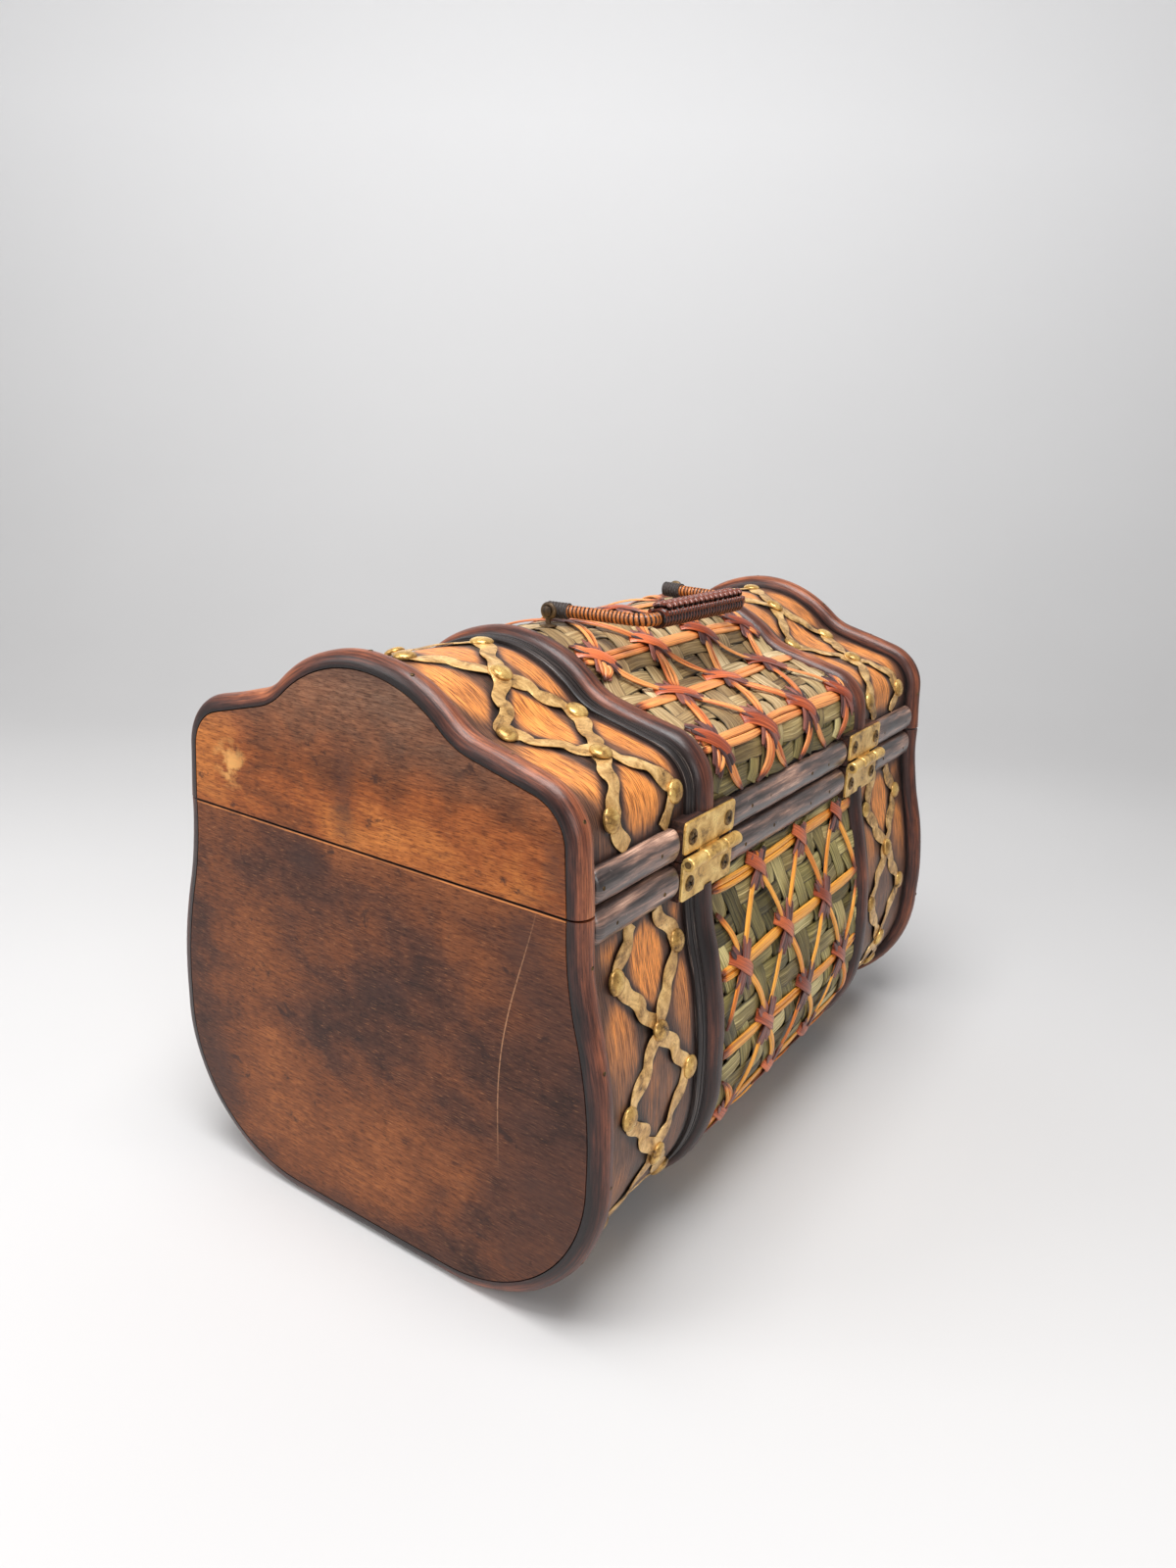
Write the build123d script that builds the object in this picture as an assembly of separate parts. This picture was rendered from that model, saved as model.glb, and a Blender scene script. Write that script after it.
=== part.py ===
from build123d import *

import math
import os

# Treasure chest with a domed lid: bent plywood shells, end panels, bent half-round mouldings, two brass
# butt hinges, brass straps with tacks, a seagrass mat under a split-cane lattice and a cane bail handle.
# Millimetres. +X along the chest, +Y towards the hinge side, +Z up, origin under the middle of the base.

os.makedirs("parts", exist_ok=True)

# Overall form
length = 320.0
seam_half_width = 88.4
bulge_half_width = 100.2
seam_height = 159.6
corner_radius = 60.5
side_flat = 8.0
bulge_share = 0.55

# Lid form, measured above the seam
lid_rise = 64.7
lid_lean = 4.0
lid_corner_radius = 17.0
shoulder_slope = 14.4
cove_radius = 30.0
dome_radius = 55.0
dome_angle = 42.0

# Sheet and solid stock
shell_thickness = 3.0
panel_thickness = 6.0
panel_shadow_gap = 0.4
seam_gap = 0.6

# Bent half-round stock
moulding_width = 10.4
moulding_crest = 5.2
moulding_proud = 5.8
foot_flat = 0.5
rib_width = 12.0
rib_crest = 6.0
rib_proud = 5.0
rib_centre = 76.5
lip_width = 5.8
lip_proud = 1.8
trim_gap = 0.3

# Rails along the seam
rail_height = 12.6
rail_proud = 5.0
rail_shoulder = 0.9
rail_end_taper = 3.0
rail_facets = 4

# Hinges
hinge_centre = 77.5
hinge_length = 37.6
leaf_height = 15.0
leaf_thickness = 1.0
leaf_corner = 2.0
barrel_radius = 2.6
barrel_sides = 12
pin_radius = 1.2
bore_sides = 8
pin_clearance = 0.05
knuckle_gap = 0.3
middle_knuckle = 0.4
pad_thickness = 4.2
hinge_screw_x = 13.5
hinge_screw_z = 8.8
screw_head_radius = 3.0
screw_crown_radius = 1.8
screw_head_height = 0.7

# Hook latch at the front
latch_pad_width = 30.0
latch_plate_width = 24.0
latch_plate_height = 11.0
latch_plate_thickness = 1.0
latch_screw_x = 8.6
latch_screw_radius = 2.0
latch_screw_crown = 1.2
latch_pin_z = 7.5
latch_pin_radius = 1.5
latch_boss_radius = 2.8
latch_boss_height = 3.4
hook_thickness = 1.5
hook_half_width = 3.0
hook_clearance = 0.06
hook_slot_clearance = 0.5
hook_side_gap = 0.3
post_head_radius = 2.6
post_head_height = 1.0

# Brass straps and tacks
strap_width = 6.5
strap_thickness = 0.9
strap_inner_margin = 1.8
strap_outer_margin = 9.7
body_strap_pitch = 50.0
body_strap_start = 5.0
lid_strap_waves = 5
tack_radius = 4.4
tack_height = 2.0
tack_crown_radius = 2.0
stud_sides = 6
facet_sag = 0.25
layer_gap = 0.05
smallest_step = 0.001

# Mat and lattice in the middle bay
mat_thickness = 1.8
cane_width = 4.4
slant_width = 3.4
cane_thickness = 0.75
node_pitch = 41.0
lid_rows = 7
lid_first_row = 34.0
lid_node_shift = -1.0
body_rows = 6
body_first_row = 19.5
body_row_pitch = 33.9
body_node_shift = -8.0
tie_width = 6.0
tie_length = 9.0
tie_thickness = 0.8

# Bail handle
eye_half_span = 52.0
eye_rise = 8.0
eye_ring_radius = 3.9
eye_ring_width = 2.4
eye_clearance = 0.3
eye_stem_half = 1.2
eye_washer_half = 4.0
eye_washer_thickness = 0.8
bail_pin_radius = 1.4
bail_pin_head_radius = 2.6
bail_reach = 41.0
bail_half_width = 46.0
bail_taper = 3.0
bail_corner = 9.0
bail_radius = 2.8
bail_sides = 8
bail_corner_steps = 4
grip_radius = 4.3
binding_radius = 3.4
binding_length = 8.0
bail_side_gap = 0.3


def arc(radius, turn):
    """One arc of an outline as its length and its turn in degrees, positive to the left."""
    return (radius * math.radians(abs(turn)), turn)


def straight(distance):
    """One straight stretch of an outline."""
    return (distance, 0.0)


def turned(heading, degrees):
    """The unit vector (y, z) that lies so many degrees to the left of a heading."""
    angle = math.radians(heading + degrees)
    return math.cos(angle), math.sin(angle)


class Outline:
    """A bent outline in the YZ plane, walked from the back seam to the front seam.

    half holds the stretches down to the middle, and the other half mirrors them.
    outside is +1 where the outside lies to the left of the walk, and -1 where it lies to the right.
    """

    def __init__(self, start, heading, outside, half):
        self.start = start
        self.heading = heading
        self.outside = outside
        self.moves = half + half[::-1]
        self.length = sum(distance for distance, turn in self.moves)

    def place(self, s, offset=0.0):
        """The point and the outward normal at arc length s, offset outwards."""
        y, z = self.start
        heading = self.heading
        left = s
        for distance, turn in self.moves:
            part = min(left, distance)
            bend = turn * part / distance
            if turn:
                radius = distance / math.radians(turn)
                side_y, side_z = turned(heading, 90.0)
                end_y, end_z = turned(heading + bend, 90.0)
                y += radius * (side_y - end_y)
                z += radius * (side_z - end_z)
            else:
                ahead_y, ahead_z = turned(heading, 0.0)
                y += part * ahead_y
                z += part * ahead_z
            heading += bend
            left -= part
            if left <= 0.0:
                break
        normal_y, normal_z = turned(heading, 90.0 * self.outside)
        return y + offset * normal_y, z + offset * normal_z, normal_y, normal_z

    def point(self, x, s, offset=0.0):
        y, z, _, _ = self.place(s, offset)
        return Vector(x, y, z)

    def normal(self, s):
        _, _, normal_y, normal_z = self.place(s)
        return Vector(0.0, normal_y, normal_z)

    def breaks(self, start, end, step=360.0):
        """Arc lengths from start to end at each change of stretch, with arcs split into steps of a few degrees."""
        marks = [start]
        here = 0.0
        for distance, turn in self.moves:
            count = max(1, math.ceil(abs(turn) / step))
            marks += [here + distance * i / count for i in range(1, count + 1)]
            here += distance
        marks.append(end)
        kept = []
        for mark in sorted(mark for mark in marks if start <= mark <= end):
            if not kept or mark - kept[-1] > smallest_step:
                kept.append(mark)
        kept[-1] = end
        return kept

    def edges(self, x, start, end, offset):
        """The lines and arcs of the outline between two arc lengths."""
        marks = self.breaks(start, end)
        made = []
        for first, last in zip(marks, marks[1:]):
            a = self.point(x, first, offset)
            b = self.point(x, last, offset)
            middle = self.point(x, (first + last) / 2, offset)
            if (middle - (a + b) / 2).length < 1e-6:
                made.append(Edge.make_line(a, b))
            else:
                made.append(Edge.make_three_point_arc(a, middle, b))
        return made

    def band(self, x_range, s_range, inner, outer):
        """A curved strip between two offsets of the outline, extruded along X."""
        x = x_range[0]
        start, end = s_range
        ring = self.edges(x, start, end, outer) + self.edges(x, start, end, inner)
        ring.append(Edge.make_line(self.point(x, start, inner), self.point(x, start, outer)))
        ring.append(Edge.make_line(self.point(x, end, inner), self.point(x, end, outer)))
        face = Face(Wire(ring))
        return Solid.extrude(face, Vector(x_range[1] - x, 0.0, 0.0))

    def region(self, x_range, offset):
        """Everything inside the outline up to its seam line, extruded along X."""
        x = x_range[0]
        ring = self.edges(x, 0.0, self.length, offset)
        ring.append(Edge.make_line(self.point(x, 0.0, offset), self.point(x, self.length, offset)))
        return Solid.extrude(Face(Wire(ring)), Vector(x_range[1] - x, 0.0, 0.0))

    def stations(self):
        """The arc lengths at which the flat facets under straps and canes meet."""
        marks = [0.0]
        for distance, turn in self.moves:
            count = 1
            if turn:
                radius = distance / math.radians(abs(turn))
                step = 2.0 * math.degrees(math.acos(1.0 - facet_sag / radius))
                count = math.ceil(abs(turn) / step)
            marks += [marks[-1] + distance / count * (i + 1) for i in range(count)]
        return marks

    def on_facets(self, x, s, offset):
        """A point over the facets, which clear the true outline by up to twice their sag."""
        marks = self.stations()
        for low, high in zip(marks, marks[1:]):
            if s <= high + smallest_step:
                break
        a = self.point(x, low, offset + facet_sag)
        b = self.point(x, high, offset + facet_sag)
        return a + (b - a) * ((s - low) / (high - low))

    def bent_bar(self, s_range, section):
        """A bar swept along the outline. Its section is a list of (x, offset) corners."""
        start, end = s_range
        x_start = section[0][0]
        path = Wire(self.edges(x_start, start, end, 0.0))
        corners = [self.point(x, start, offset) for x, offset in section]
        return sweep(Face(Wire.make_polygon(corners, close=True)), path=path)

    def strip(self, path, inner, thickness, width, crowned=False):
        """A flat strip over the facets through (x, s, lift) points, or a cane with a crown along its middle."""
        ends = (path[0][1], path[-1][1])
        marks = [mark for mark in self.stations() if ends[0] < mark < ends[1]] + [point[1] for point in path]
        kept = []
        for mark in sorted(marks):
            if not kept or mark - kept[-1] > cane_thickness / 2:
                kept.append(mark)
        kept[-1] = ends[1]
        sections = []
        for s in kept:
            x, lift = along(path, s)
            low, high = inner + lift, inner + lift + thickness
            corners = [(x - width / 2, low), (x + width / 2, low)]
            corners += [(x, high)] if crowned else [(x + width / 2, high), (x - width / 2, high)]
            sections.append([self.on_facets(across, s, offset) for across, offset in corners])
        return skin(sections)


def half_round(x_centre, width, crest, proud):
    """Corners (x, offset) of a half-round section in three flats: two flanks and the crest."""
    return [
        (x_centre + width / 2, 0.0),
        (x_centre + crest / 2, proud),
        (x_centre - crest / 2, proud),
        (x_centre - width / 2, 0.0),
    ]


def skin(sections):
    """A closed solid through matching polygons, with flat faces only."""
    faces = [Face(Wire.make_polygon(section, close=True)) for section in (sections[0], sections[-1])]
    for low, high in zip(sections, sections[1:]):
        for i, a in enumerate(low):
            j = (i + 1) % len(low)
            b, c, d = low[j], high[j], high[i]
            height = abs((b - a).cross(d - a).normalized().dot(c - a))
            if height < smallest_step / 10:
                faces.append(Face(Wire.make_polygon([a, b, c, d], close=True)))
            else:
                faces.append(Face(Wire.make_polygon([a, b, c], close=True)))
                faces.append(Face(Wire.make_polygon([a, c, d], close=True)))
    return Solid(Shell(faces))


def stud(base, outward, foot_radius, crown_radius, height):
    """A domed head in flat steps, standing on its foot."""
    plane = Plane(origin=base, z_dir=outward)
    rings = []
    for radius, level in ((foot_radius, 0.0), (crown_radius, height)):
        angles = [2 * math.pi * (i + 0.5) / stud_sides for i in range(stud_sides)]
        rings.append([plane.from_local_coords((radius * math.cos(a), radius * math.sin(a), level)) for a in angles])
    return skin(rings)


def along(path, s):
    """x and lift at arc length s on a path of (x, s, lift) points in order of s."""
    for (x0, s0, lift0), (x1, s1, lift1) in zip(path, path[1:]):
        if s <= s1 + 1e-6:
            share = (s - s0) / (s1 - s0)
            return x0 + (x1 - x0) * share, lift0 + (lift1 - lift0) * share
    return path[-1][0], path[-1][2]


def body_outline():
    """Down from the seam: a concave then a convex arc to the bulge, a flat, the round corner and the base."""
    drop = seam_height - seam_gap / 2 - base_height - corner_radius - side_flat
    swell = bulge_half_width - seam_half_width
    lean = 2.0 * math.degrees(math.atan2(swell, drop))
    sum_of_radii = drop / math.sin(math.radians(lean))
    half = [
        arc(sum_of_radii * (1.0 - bulge_share), lean),
        arc(sum_of_radii * bulge_share, -lean),
        straight(side_flat),
        arc(corner_radius, -90.0),
        straight(bulge_half_width - corner_radius),
    ]
    return Outline((seam_half_width, seam_height - seam_gap / 2), -90.0, 1, half)


def lid_outline():
    """Up from the seam: a leaning side, the corner, a sloping shoulder, a cove and the dome."""
    rise = lid_rise - seam_gap / 2
    slope = math.radians(shoulder_slope)
    side = math.radians(90.0 - lid_lean)
    dome = math.radians(dome_angle)
    dome_out = dome_radius * math.sin(dome)
    dome_down = dome_radius * (1.0 - math.cos(dome))
    cove_out = cove_radius * (math.sin(dome) - math.sin(slope))
    cove_down = cove_radius * (math.cos(slope) - math.cos(dome))
    corner_out = lid_corner_radius * (math.sin(side) - math.sin(slope))
    corner_down = lid_corner_radius * (math.cos(slope) - math.cos(side))
    out_left = seam_half_width - dome_out - cove_out - corner_out
    down_left = rise - dome_down - cove_down - corner_down
    spread = math.sin(side - slope)
    shoulder = (out_left * math.sin(side) - down_left * math.cos(side)) / spread
    upright = (down_left * math.cos(slope) - out_left * math.sin(slope)) / spread
    half = [
        straight(upright),
        arc(lid_corner_radius, 90.0 - lid_lean - shoulder_slope),
        straight(shoulder),
        arc(cove_radius, shoulder_slope - dome_angle),
        arc(dome_radius, dome_angle),
    ]
    return Outline((seam_half_width, seam_height + seam_gap / 2), 90.0 + lid_lean, -1, half)


def cylinder(start, direction, radius, height):
    """A cylinder from a start point along a direction."""
    return Solid.make_cylinder(radius, height, Plane(origin=start, z_dir=direction))


def polygon(start, direction, radius, sides):
    """A regular polygon square to a direction, with its corners at the radius."""
    plane = Plane(origin=start, z_dir=direction)
    angles = [2 * math.pi * (i + 0.5) / sides for i in range(sides)]
    corners = [plane.from_local_coords((radius * math.cos(a), radius * math.sin(a), 0)) for a in angles]
    return Face(Wire.make_polygon(corners, close=True))


def prism(start, direction, radius, height, sides):
    """A small round bar in flat sides."""
    return Solid.extrude(polygon(start, direction, radius, sides), Vector(*direction) * height)


def bent_rod(path, radius, sides, corner_steps):
    """A level rod in flat sides along a path of lines and arcs, each arc in equal steps."""
    up = Vector(0, 0, 1)
    angles = [2 * math.pi * (i + 0.5) / sides for i in range(sides)]
    sections = []
    for edge in path.edges().sort_by(Axis.X):
        steps = corner_steps if edge.geom_type == GeomType.CIRCLE else 1
        flip = (edge @ 1).X < (edge @ 0).X
        for i in range(0 if not sections else 1, steps + 1):
            share = 1 - i / steps if flip else i / steps
            ahead = -(edge % share) if flip else edge % share
            aside = ahead.cross(up)
            place = edge @ share
            sections.append([place + (up * math.cos(a) + aside * math.sin(a)) * radius for a in angles])
    return skin(sections)


def around(radius, sides):
    """The corner radius of a polygon whose sides stand at the given radius."""
    return radius / math.cos(math.pi / sides)


def block(x_range, y_range, z_range):
    """A box between two limits on each axis."""
    size = (x_range[1] - x_range[0], y_range[1] - y_range[0], z_range[1] - z_range[0])
    return Solid.make_box(*size, Plane(origin=(x_range[0], y_range[0], z_range[0])))


def save(name, *solids):
    """Write one node."""
    shapes = [solid for item in solids for solid in (item.solids() if hasattr(item, "solids") else [item])]
    export_step(shapes[0] if len(shapes) == 1 else Compound(shapes), f"parts/{name}.step")


base_height = moulding_proud - foot_flat
half_length = length / 2
panel_inner = half_length - panel_thickness
moulding_centre = half_length - moulding_width / 2
bay_end = half_length - moulding_width - trim_gap
rib_inner = rib_centre - rib_width / 2
middle_bay = rib_inner - trim_gap
strap_inner = rib_centre + rib_width / 2 + lip_width + strap_inner_margin
strap_outer = half_length - moulding_width - strap_outer_margin
strap_centre = (strap_inner + strap_outer) / 2
strap_swing = (strap_outer - strap_inner) / 2 - tack_radius
rail_edge = rail_height + 2 * trim_gap
hinge_axis_y = seam_half_width + pad_thickness + barrel_radius
trim_start = leaf_height + trim_gap
apex = seam_height + lid_rise

body = body_outline()
lid = lid_outline()
base_edge = body.length / 2 - (bulge_half_width - corner_radius)


def mirrored(solid):
    """The same piece at the other end of the chest."""
    return solid.mirror(Plane.YZ)


def front_copy(solid):
    """The same piece on the front of the chest."""
    return solid.mirror(Plane.XZ)


def feet_cut(solid):
    """Cut the bottom of a moulding flat where the chest stands on it."""
    reach = 2.0 * bulge_half_width
    return solid - block((-length, length), (-reach, reach), (-moulding_proud * 2, 0.0))


def pad(side, half_width, centre):
    """A hidden wooden block that carries a leaf or a plate, shaped to the shell behind it."""
    near = seam_gap / 2
    z_range = (seam_height + near, seam_height + leaf_height)
    outline = lid
    if side < 0:
        z_range = (seam_height - leaf_height, seam_height - near)
        outline = body
    depth = (seam_half_width - shell_thickness, seam_half_width + pad_thickness)
    whole = block((centre - half_width, centre + half_width), depth, z_range)
    return whole - outline.region((centre - half_width - 1.0, centre + half_width + 1.0), 0.0)


def knuckle_spans():
    """X spans of the three knuckles, from the hinge's left end to its right end."""
    middle_half = hinge_length * middle_knuckle / 2
    end = hinge_length / 2
    half_gap = knuckle_gap / 2
    outer_near = middle_half + half_gap
    middle_reach = middle_half - half_gap
    return [(-end, -outer_near), (-middle_reach, middle_reach), (outer_near, end)]


def hinge_leaf(side, centre):
    """One leaf with its knuckles: the lid's leaf carries the middle one, the body's leaf the outer two."""
    spans = knuckle_spans()
    own = [spans[1]] if side > 0 else [spans[0], spans[2]]
    leaf_y = seam_half_width + pad_thickness
    inner_edge = barrel_radius + knuckle_gap
    z_range = (seam_height + inner_edge, seam_height + leaf_height)
    if side < 0:
        z_range = (seam_height - leaf_height, seam_height - inner_edge)
    plate = block((centre - hinge_length / 2, centre + hinge_length / 2), (leaf_y, leaf_y + leaf_thickness), z_range)
    far = z_range[1] if side > 0 else z_range[0]
    corners = [e for e in plate.edges().filter_by(Axis.Y) if abs(e.center().Z - far) < 0.01]
    leaf = plate.chamfer(leaf_corner, None, corners)
    for x_min, x_max in own:
        start = Vector(centre + x_min, hinge_axis_y, seam_height)
        tab_z = (seam_height, seam_height + inner_edge) if side > 0 else (seam_height - inner_edge, seam_height)
        tab = block((centre + x_min, centre + x_max), (leaf_y, leaf_y + leaf_thickness), tab_z)
        leaf = leaf.fuse(tab, prism(start, (1, 0, 0), barrel_radius, x_max - x_min, barrel_sides))
    bore = Vector(centre - hinge_length, hinge_axis_y, seam_height)
    bore_radius = around(pin_radius + pin_clearance, bore_sides)
    return leaf - prism(bore, (1, 0, 0), bore_radius, 2 * hinge_length, bore_sides)


def hinge_pin(centre):
    """The pin, flush with the ends of the barrel."""
    end = Vector(centre - hinge_length / 2, hinge_axis_y, seam_height)
    return cylinder(end, (1, 0, 0), pin_radius, hinge_length)


def rail(side, x_range):
    """A near half-round rod along the seam, seated on the shell, with its ends sloped off."""
    outline = lid if side > 0 else body
    near = trim_gap + seam_gap / 2
    start, end = x_range
    foot_y = seam_half_width - shell_thickness
    shoulder_y, _, _, _ = outline.place(near + rail_height / 2)
    corners = [(foot_y, near)]
    for i in range(rail_facets + 1):
        angle = math.pi * i / rail_facets
        out = rail_shoulder + (rail_proud - rail_shoulder) * math.sin(angle)
        corners.append((shoulder_y + out, near + rail_height / 2 * (1.0 - math.cos(angle))))
    corners.append((foot_y, near + rail_height))
    section = [Vector(start, y, seam_height + side * z) for y, z in corners]
    bar = Solid.extrude(Face(Wire.make_polygon(section, close=True)), Vector(end - start, 0.0, 0.0))
    bar = bar - outline.region((start - 1.0, end + 1.0), 0.0)
    for x, sign in ((start, 1), (end, -1)):
        wedge = [(x, shoulder_y + rail_shoulder), (x + sign * rail_end_taper, shoulder_y + rail_proud)]
        wedge += [(x, shoulder_y + 2 * rail_proud)]
        triangle = [Vector(a, b, seam_height - leaf_height) for a, b in wedge]
        triangle[1] = triangle[1] + (triangle[1] - triangle[0]) * rail_proud
        cutter = Solid.extrude(Face(Wire.make_polygon(triangle, close=True)), Vector(0.0, 0.0, 2 * leaf_height))
        bar = bar - cutter
    return bar


def tack(outline, x, s, offset):
    """A tack standing on the straps, raised where the surface is hollow under its foot."""
    base = outline.on_facets(x, s, offset)
    outward = outline.normal(s)
    steps = [tack_radius * i / 4 for i in range(-4, 5)]
    lift = max((outline.on_facets(x, s + step, offset) - base).dot(outward) for step in steps)
    return stud(base + outward * (lift + layer_gap), outward, tack_radius, tack_crown_radius, tack_height)


def strap_wave(s, first, pitch, sign):
    """The zigzag of one strap: at the middle of its bay at each crossing, out to a side half a pitch on."""
    phase = (s - first) / pitch
    whole = math.floor(phase)
    swing = 1.0 - abs(2.0 * (phase - whole) - 1.0)
    direction = sign if whole % 2 == 0 else -sign
    return direction * swing * strap_swing


def strap_path(first, pitch, s_range, sign, top):
    """Points of one strap. The strap on top steps over the other at each crossing."""
    start, end = s_range
    marks = {start, end}
    step_over = strap_width
    count = int((end - first) / pitch * 2) + 2
    for i in range(count + 1):
        mark = first + i * pitch / 2
        if i % 2 == 1 or not top:
            marks.add(mark)
        else:
            marks |= {mark - step_over, mark + step_over, mark - step_over / 2, mark + step_over / 2}
    path = []
    for s in sorted(mark for mark in marks if start <= mark <= end):
        away = abs((s - first) / pitch - round((s - first) / pitch)) * pitch
        lift = strap_thickness + layer_gap if top and away <= step_over / 2 + 0.01 else 0.0
        path.append((strap_centre + strap_wave(s, first, pitch, sign), s, lift))
    return path


def straps_and_tacks(outline, first, pitch, s_range):
    """Two crossing straps in the right-hand outer bay and the tacks that hold them."""
    straps = []
    for sign, top in ((1, False), (-1, True)):
        path = strap_path(first, pitch, s_range, sign, top)
        straps.append(outline.strip(path, layer_gap, strap_thickness, strap_width))
    tacks = []
    start, end = s_range
    room = tack_radius + trim_gap
    for i in range(int((end - first) / pitch * 2) + 1):
        s = first + i * pitch / 2
        if not start + room <= s <= end - room:
            continue
        if i % 2 == 0:
            tacks.append(tack(outline, strap_centre, s, 2 * (layer_gap + strap_thickness)))
        else:
            for sign in (-1, 1):
                x = strap_centre + sign * strap_swing
                tacks.append(tack(outline, x, s, layer_gap + strap_thickness))
    return straps, tacks


def lattice(outline, rows, first_row, row_pitch, shift, s_range, odd_first, short_row):
    """Canes along each row, two families of slanting canes and the ties where they cross."""
    start, end = s_range
    reach = middle_bay - trim_gap
    half = node_pitch / 2
    canes, ties = [], []
    layer = cane_thickness + layer_gap
    for row in range(rows):
        s = first_row + row * row_pitch
        row_reach = eye_half_span - 2 * eye_washer_half if row == short_row else reach
        tie_reach = row_reach - tie_width if row == short_row else reach
        across = [(0.0, s - cane_width / 2, 0.0), (0.0, s + cane_width / 2, 0.0)]
        canes.append(outline.strip(across, mat_thickness, cane_thickness, 2 * row_reach))
        count = int((reach + abs(shift)) / half) + 1
        for m in range(-count, count + 1):
            x = m * half + shift
            if (m + row + odd_first) % 2 == 0 and abs(x) + tie_width / 2 < tie_reach:
                over = [(x, s - tie_length / 2, 0.0), (x, s + tie_length / 2, 0.0)]
                ties.append(outline.strip(over, mat_thickness + 3 * layer, tie_thickness, tie_width))
    slope = half / row_pitch
    wide = slant_width * math.hypot(1.0, slope)
    inside = reach - wide / 2
    for family, direction in enumerate((1, -1)):
        inner = mat_thickness + (family + 1) * layer
        count = int((reach + abs(shift) + slope * outline.length) / node_pitch) + 2
        for j in range(-count, count + 1):
            x_first = (2 * j + odd_first) * half + shift
            hits = [first_row + direction * (edge - x_first) / slope for edge in (-inside, inside)]
            low, high = max(start, min(hits)), min(end, max(hits))
            if high - low > row_pitch / 2:
                run = [(x_first + direction * slope * (s - first_row), s, 0.0) for s in (low, high)]
                canes.append(outline.strip(run, inner, cane_thickness, wide, crowned=True))
    return canes, ties


def save_both_ends(name, make):
    """Write a piece for the right-hand end and its mirror for the left-hand end."""
    pieces = make()
    save(f"{name}_right", *pieces)
    save(f"{name}_left", *[mirrored(piece) for piece in pieces])


def eye_stem_hole(x):
    """The square hole that the clinched stem of a handle eye passes through."""
    half = eye_stem_half
    return block((x - half, x + half), (-half, half), (apex - 2 * shell_thickness, apex + 2 * mat_thickness))


def make_shells():
    inside = (-panel_inner, panel_inner)
    save("body_shell", body.band(inside, (0.0, body.length), -shell_thickness, 0.0))
    lid_shell = lid.band(inside, (0.0, lid.length), -shell_thickness, 0.0)
    for x in (-eye_half_span, eye_half_span):
        lid_shell = lid_shell - eye_stem_hole(x)
    save("lid_shell", lid_shell)


def make_ends():
    for name, outline in (("body", body), ("lid", lid)):
        panel = outline.region((panel_inner, half_length), -panel_shadow_gap)
        save_both_ends(f"{name}_end_panel", lambda: [panel])
        section = half_round(moulding_centre, moulding_width, moulding_crest, moulding_proud)
        moulding = outline.bent_bar((0.0, outline.length), section)
        if name == "body":
            moulding = feet_cut(moulding)
        save_both_ends(f"{name}_end_moulding", lambda: [moulding])


def make_ribs():
    """Bent ribs beside the middle bay, each with a thin sloping lip on the side of the outer bay."""
    section = half_round(rib_centre, rib_width, rib_crest, rib_proud)
    edge = section[0][0]
    share = lip_proud / rib_proud
    meet = edge + (section[1][0] - edge) * share
    section[0:1] = [(edge + lip_width, 0.0), (meet, lip_proud)]
    for name, outline in (("body", body), ("lid", lid)):
        s_range = (trim_start, outline.length - rail_edge - seam_gap / 2)
        rib = outline.bent_bar(s_range, section)
        save(f"{name}_ribs", rib, mirrored(rib))


def make_rails():
    outer_start = hinge_centre + hinge_length / 2 + 2 * trim_gap
    middle = hinge_centre - hinge_length / 2 - 2 * trim_gap
    latch_side = latch_pad_width / 2 + 2 * trim_gap
    for name, side in (("body", -1), ("lid", 1)):
        outer = rail(side, (outer_start, bay_end))
        save(f"{name}_rails_back", rail(side, (-middle, middle)), outer, mirrored(outer))
        front = front_copy(rail(side, (latch_side, bay_end)))
        save(f"{name}_rails_front", front, mirrored(front))


def make_hinges():
    leaf_face = seam_half_width + pad_thickness + leaf_thickness
    for name, side in (("body", -1), ("lid", 1)):
        pads, screws, leaves = [], [], []
        for centre in (hinge_centre, -hinge_centre):
            pads.append(pad(side, hinge_length / 2, centre))
            leaves.append(hinge_leaf(side, centre))
            for x in (centre - hinge_screw_x, centre + hinge_screw_x):
                place = Vector(x, leaf_face, seam_height + side * hinge_screw_z)
                screws.append(stud(place, (0, 1, 0), screw_head_radius, screw_crown_radius, screw_head_height))
        save(f"{name}_hinge_pads", *pads)
        save(f"{name}_hinge_leaves", *leaves)
        save(f"{name}_hinge_screws", *screws)
    save("hinge_pins", hinge_pin(hinge_centre), hinge_pin(-hinge_centre))


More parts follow.
